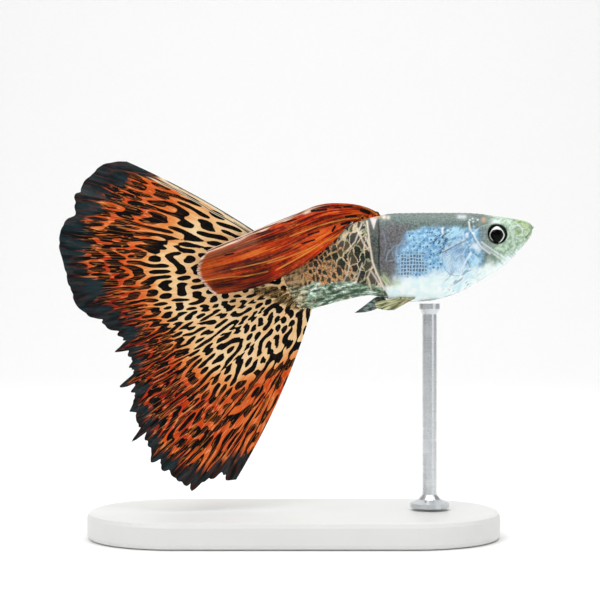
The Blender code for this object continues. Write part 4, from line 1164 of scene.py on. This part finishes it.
dorsal, u, v, most = fin_sheet(
    "dorsal_web_and_rays", DORSAL_COLUMNS, DORSAL_ROWS, dorsal_surface, dorsal_half, DORSAL_RAYS,
    DORSAL_CHART_LENGTH,
)
dorsal_x, _, dorsal_z = dorsal_surface(u, v)
dorsal_view = (dorsal_x, dorsal_z)
blots = painted_lines(dorsal_view, (
    (1.0, 0.22, ((18.55, 1.75), (19.4, 1.98))), (1.0, 0.16, ((20.0, 1.32), (21.1, 1.2))),
    (1.0, 0.15, ((23.3, 1.98), (24.9, 1.82))),
    (1.0, 0.09, ((21.7, 2.25), (22.3, 2.2))), (1.0, 0.10, ((20.4, 2.4), (21.3, 2.3))),
    (1.0, 0.14, ((19.2, 1.1), (19.25, 1.1))),
    (0.9, 0.17, ((20.7, 0.6), (21.6, 0.35))), (0.9, 0.16, ((22.3, 0.1), (22.6, -0.4))),
    (0.9, 0.11, ((24.1, -0.5), (25.3, -0.85))),
    (0.9, 0.11, ((24.6, -1.4), (26.0, -1.85))), (0.8, 0.09, ((26.6, 0.9), (28.2, 0.45))),
    (0.8, 0.09, ((29.5, -0.3), (31.0, -0.8))),
    (0.8, 0.10, ((33.6, -2.9), (34.6, -3.1))), (0.7, 0.08, ((28.3, -1.9), (30.0, -2.5))),
))
gilt = painted_lines(dorsal_view, (
    (1.0, 0.07, ((27.3, -1.0), (24.5, 0.05), (22.9, 0.55), (21.2, 0.9), (19.7, 1.1))),
    (1.0, 0.08, ((28.85, -4.75), (26.0, -3.15), (23.3, -1.55), (20.6, -0.3))),
    (0.8, 0.06, ((29.75, -4.0), (26.9, -3.1), (24.2, -1.9))),
    (0.8, 0.06, ((33.7, -4.7), (29.9, -3.85), (28.0, -3.2))),
    (0.9, 0.07, ((19.2, 1.42), (19.5, 1.15), (19.2, 0.82), (18.85, 1.1), (19.2, 1.42))),
    (0.9, 0.10, ((17.6, 1.5), (18.3, 2.0), (19.8, 2.65))),
    (0.8, 0.06, ((36.6, -5.9), (34.0, -5.5), (32.0, -5.4), (29.8, -4.9))),
))
dusk = painted_lines(dorsal_view, (
    (1.0, 0.95, ((29.8, -5.9), (33.0, -6.3), (35.6, -6.4))), (0.75, 0.45, ((31.0, -4.0), (35.5, -4.7))),
    (0.6, 0.35, ((26.5, -2.4), (30.5, -3.2))), (0.5, 0.3, ((33.5, -2.6), (36.4, -3.4))),
))
glow = painted_lines(dorsal_view, ((1.0, 0.55, ((28.7, -4.7), (29.4, -5.7))),))
faded = painted_lines(dorsal_view, ((1.0, 0.8, ((31.5, -1.6), (36.3, -3.0))),))
cream = step((0.10 - u + 0.05 * soft_field(8, v * 20, u, 0.7)) / 0.05) * step((v - 0.40) / 0.2)
cream = np.maximum(cream, step((0.035 - v) / 0.02))
tip = step((v - 0.86) / 0.12)
cream = np.maximum(cream, step((v - 0.985) / 0.01))
for name, values in (
    ("gilt", gilt), ("dusk", dusk), ("glow", glow), ("faded", faded), ("blots", blots), ("cream", cream),
    ("tip", tip),
):
    set_numbers(dorsal, name, values)
thickened(dorsal, most)

flame, tree, shader = new_finish("orange web", IOR=1.4, Specular_IOR_Level=0.15)
streaks, hairs = ray_streaks(tree, 1.7, 0.16)
folds, _ = ray_streaks(tree, 0.55, 0.09)
thin, thin_hairs = ray_streaks(tree, 4.5, 0.4)
place = here(tree)
mottle = noise(tree, place, 2.4, 3.0, 0.6)
warm = maths(tree, "MULTIPLY_ADD", centred(tree, folds), 1.0, streaks)
warm = maths(tree, "MULTIPLY_ADD", centred(tree, thin), 0.7, warm)
warm = maths(tree, "MULTIPLY_ADD", centred(tree, mottle), 0.35, warm)
colour = colour_ramp(tree, warm, (
    (0.22, (40, 6, 2)), (0.38, (104, 18, 3)), (0.50, (168, 36, 3)), (0.63, (206, 66, 10)),
    (0.82, (232, 122, 46)),
))
dull = blend(tree, streaks, (84, 32, 20), (206, 124, 88))
colour = blend(tree, attribute(tree, "faded"), colour, dull, 0.55)
colour = blend(tree, attribute(tree, "glow"), colour, (196, 34, 8), 0.8)
for share, paint in (
    (times(tree, hairs, ramp(tree, mottle, 0.4, 0.6, 0.15, 0.75)), (224, 132, 50)),
    (times(tree, attribute(tree, "tip"), 0.4), (186, 84, 26)),
    (times(tree, attribute(tree, "dusk"), ramp(tree, thin, 0.35, 0.62, 0.98, 0.6)), (30, 6, 3)),
    (times(tree, thin_hairs, ramp(tree, mottle, 0.45, 0.6, 0.0, 0.5)), (46, 14, 8)),
    (times(tree, attribute(tree, "gilt"), ramp(tree, thin, 0.35, 0.6, 0.5, 1.0)), (230, 150, 66)),
):
    colour = blend(tree, share, colour, paint)
edging = blend(tree, ramp(tree, thin, 0.40, 0.58), (112, 58, 38), (242, 212, 186))
colour = blend(tree, attribute(tree, "cream"), colour, edging)
blot = plus(tree, attribute(tree, "blots"), times(tree, centred(tree, mottle), 0.6))
colour = blend(tree, ramp(tree, blot, 0.4, 0.55), colour, (18, 10, 8))
give(shader, "Base Color", colour)
give(shader, "Roughness", ramp(tree, mottle, 0.3, 0.7, 0.40, 0.55))
raised(tree, shader, plus(tree, streaks, plus(tree, folds, times(tree, hairs, 0.3))), 0.7, 0.05)
dorsal.data.materials.append(flame)
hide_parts("dorsal_fin")
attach(dorsal, "root")

# Anal fin
# The male's narrow rod of a fin, drawn out to a point behind the vent. It is cast solid, ridged along
# its few rays and painted dusky grey with a black tip.
ROD_LINE = ((17.05, -7.75), (17.7, -8.75), (20.1, -9.5))
ROD_ROOT_SLOPE = 0.24
ROD_HALF = (0.30, 0.50)
ROD_SIDES = 48
ROD_RINGS = 80

bpy.ops.object.select_all(action="DESELECT")
bpy.ops.mesh.primitive_uv_sphere_add(segments=ROD_SIDES, ring_count=ROD_RINGS, radius=1.0)
anal = bpy.context.object
anal.name = anal.data.name = "anal_fin_rod"
ball = points_of(anal)
share = np.arccos(np.clip(ball[:, 2], -1.0, 1.0)) / math.pi
turn = np.arctan2(ball[:, 1], ball[:, 0])
first, knee, last = (np.array(point) for point in ROD_LINE)
centre = (
    np.outer((1 - share) ** 2, first) + np.outer(2 * share * (1 - share), knee)
    + np.outer(share ** 2, last)
)
along = np.outer(1 - share, knee - first) + np.outer(share, last - knee)
along /= np.linalg.norm(along, axis=1, keepdims=True)
across = np.stack([-along[:, 1], along[:, 0]], axis=1)
root_across = np.array([1.0, ROD_ROOT_SLOPE]) / math.hypot(1.0, ROD_ROOT_SLOPE)
across = mix(root_across, across, step(share / 0.3)[:, None])
across /= np.linalg.norm(across, axis=1, keepdims=True)
full = (
    (1.12 + 0.2 * np.sin(math.pi * share)) * (1 - share ** 3) * np.sqrt(np.clip(share / 0.03, 0, 1))
    * 0.96
)
full = full * (1 - 0.05 * np.abs(np.sin(turn * 5)) * step(share / 0.2))
flat = across * (ROD_HALF[1] * full * np.sin(turn))[:, None]
where = placed(centre[:, 0] + flat[:, 0], ROD_HALF[0] * full * np.cos(turn), centre[:, 1] + flat[:, 1])
anal.data.vertices.foreach_set("co", where.ravel())
set_numbers(anal, "share", share)
face_outwards()

dusky, tree, shader = new_finish("dusky web", IOR=1.4, Specular_IOR_Level=0.25)
place = here(tree)
mottle = noise(tree, stretched(tree, place, (1.0, 2.0, 3.0)), 1.8, 3.0, 0.6)
colour = blend(tree, ramp(tree, mottle, 0.4, 0.62), (48, 62, 58), (142, 160, 152))
colour = blend(tree, ramp(tree, attribute(tree, "share"), 0.62, 0.9, 0.0, 0.8), colour, (14, 18, 18))
colour = blend(tree, ramp(tree, attribute(tree, "share"), 0.12, 0.30, 0.8, 0.0), colour, (26, 32, 28))
give(shader, "Base Color", colour)
give(shader, "Roughness", ramp(tree, mottle, 0.3, 0.7, 0.34, 0.5))
raised(tree, shader, mottle, 0.4, 0.03)
anal.data.materials.append(dusky)
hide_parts("anal_fin")
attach(anal, "root")

# Pelvic fins
# A pair of small pointed fins under the belly, swept back. Each is a thin cast fan of four rays,
# tinted yellow-green, and is let into the belly at its root.
PELVIC_ROOT = (14.3, -7.85)
PELVIC_ROOT_LENGTH = 1.80
PELVIC_LENGTH = 3.5
PELVIC_ANGLES = (-30.0, -8.0)
PELVIC_SIDE = 1.25
PELVIC_SPLAY = -8.0
PELVIC_RAYS = 4
PELVIC_GRID = (64, 40)
PELVIC_ROOT_HALF = 0.22


def fan_surface(root, spread, length, angles, flare, hand):
    """The middle surface of a small paired fin, whose rays fan out and back from a short root."""

    def surface(u, v):
        angle = np.radians(mix(angles[0], angles[1], u))
        reach = (
            length * v * (0.78 + 0.22 * np.sin(math.pi * u)) * (1 - 0.03 * np.abs(np.sin(u * 21.0)) * v)
        )
        back = math.cos(math.radians(flare)) * reach
        behind = root[0] + spread[0] * (u - 0.5) + back * np.cos(angle)
        side = hand * (root[1] + math.sin(math.radians(flare)) * reach)
        return behind, side, root[2] + spread[1] * (u - 0.5) + back * np.sin(angle)

    return surface


def small_fin_half(rays, root_half):
    def half(u, v):
        plain = mix(mix(0.12, root_half, step(np.minimum(u, 1 - u) / 0.15)), 0.04, step(v / 0.2))
        return plain + 0.05 * ray_ridge(u, v, rays, 0.55) * step(v / 0.1) * (1 - 0.7 * v)

    return half


olive, tree, shader = new_finish("olive web", IOR=1.42)
streaks, hairs = ray_streaks(tree, 1.8, 0.5)
colour = blend(tree, ramp(tree, streaks, 0.38, 0.62), (84, 102, 62), (212, 214, 170))
colour = blend(tree, hairs, colour, (214, 164, 108), 0.85)
give(shader, "Base Color", colour)
give(shader, "Roughness", ramp(tree, streaks, 0.3, 0.7, 0.36, 0.5))
give(shader, "Alpha", ramp(tree, streaks, 0.3, 0.7, 0.7, 0.95))
raised(tree, shader, streaks, 0.5, 0.02)
for word, hand in (("left", 1.0), ("right", -1.0)):
    surface = fan_surface(
        (PELVIC_ROOT[0], PELVIC_SIDE, PELVIC_ROOT[1]), (PELVIC_ROOT_LENGTH, 0.0), PELVIC_LENGTH,
        PELVIC_ANGLES, PELVIC_SPLAY, hand,
    )
    pelvic, u, v, most = fin_sheet(
        "pelvic_web_" + word, *PELVIC_GRID, surface, small_fin_half(PELVIC_RAYS, PELVIC_ROOT_HALF),
        PELVIC_RAYS, PELVIC_LENGTH,
    )
    thickened(pelvic, most)
    pelvic.data.materials.append(olive)
    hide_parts("pelvic_fin_" + word)
    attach(pelvic, "root")

# Pectoral fins
# A pair of clear fans behind the gill covers, each cast in clear resin with seven fine rays and
# fixed in the flank by its short root.
PECTORAL_ROOT = (7.95, -2.00)
PECTORAL_ROOT_HEIGHT = 1.00
PECTORAL_LENGTH = 4.2
PECTORAL_ANGLES = (-26.0, -80.0)
PECTORAL_FLARE = 26.0
PECTORAL_RAYS = 7
PECTORAL_SIDE = 2.72
PECTORAL_GRID = (98, 48)
PECTORAL_ROOT_HALF = 0.2

clear, tree, shader = new_finish("clear web", IOR=1.4)
streaks, hairs = ray_streaks(tree, 1.0, 0.3)
ridge = attribute(tree, "ridge")
rim = attribute(tree, "rim")
colour = blend(tree, ramp(tree, streaks, 0.35, 0.65), (196, 216, 236), (236, 244, 250))
colour = blend(tree, rim, colour, (56, 84, 116))
give(shader, "Base Color", colour)
give(shader, "Roughness", ramp(tree, streaks, 0.3, 0.7, 0.2, 0.35))
cover = maths(tree, "MAXIMUM", ramp(tree, ridge, 0.2, 0.9, 0.10, 0.42), times(tree, rim, 0.9))
give(shader, "Alpha", cover)
raised(tree, shader, streaks, 0.4, 0.02)
for word, hand in (("left", 1.0), ("right", -1.0)):
    surface = fan_surface(
        (PECTORAL_ROOT[0], PECTORAL_SIDE, PECTORAL_ROOT[1]), (0.0, -PECTORAL_ROOT_HEIGHT),
        PECTORAL_LENGTH,
        PECTORAL_ANGLES, PECTORAL_FLARE, hand,
    )
    pectoral, u, v, most = fin_sheet(
        "pectoral_web_" + word, *PECTORAL_GRID, surface,
        small_fin_half(PECTORAL_RAYS, PECTORAL_ROOT_HALF), PECTORAL_RAYS, PECTORAL_LENGTH,
    )
    set_numbers(pectoral, "ridge", ray_ridge(u, v, PECTORAL_RAYS, 0.55) * step((1 - v) / 0.3))
    set_numbers(pectoral, "rim", np.maximum(step((0.05 - u) / 0.04), 0.6 * step((v - 0.97) / 0.03)))
    thickened(pectoral, most)
    pectoral.data.materials.append(clear)
    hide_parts("pectoral_fin_" + word)
    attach(pectoral, "root")

# Backdrop and lights
# A roll of white paper lies under the stand and is swept up behind it, so that no edge shows. Soft
# boxes light the fish from the left, the right and above, and one more lights the paper.
PAPER_WIDTH = 1.6
PAPER_FRONT = -0.6
PAPER_BACK = 0.35
PAPER_BEND = 0.25
PAPER_HEIGHT = 1.0
PAPER_STEPS = 60

bpy.ops.object.select_all(action="DESELECT")
bpy.ops.mesh.primitive_grid_add(x_subdivisions=2, y_subdivisions=PAPER_STEPS, size=1.0)
paper = bpy.context.object
paper.name = paper.data.name = "paper"
for point in paper.data.vertices:
    run = (point.co.y + 0.5) * (PAPER_BACK - PAPER_FRONT + PAPER_BEND * math.pi / 2 + PAPER_HEIGHT)
    bend = (run - (PAPER_BACK - PAPER_FRONT)) / PAPER_BEND
    turned = min(max(bend, 0.0), math.pi / 2)
    depth = PAPER_FRONT + min(run, PAPER_BACK - PAPER_FRONT) + PAPER_BEND * math.sin(turned)
    rise = PAPER_BEND * (1 - math.cos(turned)) + PAPER_BEND * max(bend - math.pi / 2, 0.0)
    point.co = (point.co.x * PAPER_WIDTH, depth, rise)
bpy.ops.object.shade_smooth()
white, tree, shader = new_finish("white paper", Roughness=0.9)
fibre = noise(tree, here(tree), 0.8, 3.0)
give(shader, "Base Color", blend(tree, fibre, (244, 244, 243), (248, 248, 247)))
paper.data.materials.append(white)

world = bpy.data.worlds.new("studio")
bpy.context.scene.world = world
world.use_nodes = True
sky = world.node_tree.nodes["Background"]
sky.inputs["Color"].default_value = (0.97, 0.985, 1.0, 1.0)
sky.inputs["Strength"].default_value = 0.34

for name, where, aim, size, power in (
    ("key", (-0.22, -0.35, 0.36), (0.0, 0.0, 0.026), 0.30, 0.85),
    ("fill", (0.38, -0.30, 0.16), (0.0, 0.0, 0.026), 0.34, 0.30),
    ("top", (0.02, 0.02, 0.45), (0.0, 0.0, 0.026), 0.36, 0.5),
    ("backdrop", (0.0, 0.12, 0.62), (0.0, 0.50, 0.12), 0.70, 2.6),
):
    lamp = bpy.data.lights.new(name, "AREA")
    lamp.size = size
    lamp.energy = power
    made = bpy.data.objects.new(name, lamp)
    bpy.context.scene.collection.objects.link(made)
    made.location = where
    made.rotation_euler = (Vector(aim) - Vector(where)).to_track_quat("-Z", "Y").to_euler()

# Camera
# It stands level at the height of the fish's middle and looks at its right side, square on, with a
# long lens. The fish then faces right and fills most of the picture's width.
VIEW_WIDTH = 67.2
LENS = 100.0
SENSOR = 36.0
AIM = (0.69, 26.5)
lens = bpy.data.cameras.new("camera")
lens.lens = LENS
lens.sensor_width = SENSOR
lens.clip_start = 0.005
camera = bpy.data.objects.new("camera", lens)
bpy.context.scene.collection.objects.link(camera)
camera.location = (AIM[0] * MM, -VIEW_WIDTH * LENS / SENSOR * MM, AIM[1] * MM)
camera.rotation_euler = (math.pi / 2, 0.0, 0.0)
bpy.context.scene.camera = camera
bpy.context.scene.view_settings.view_transform = "Standard"
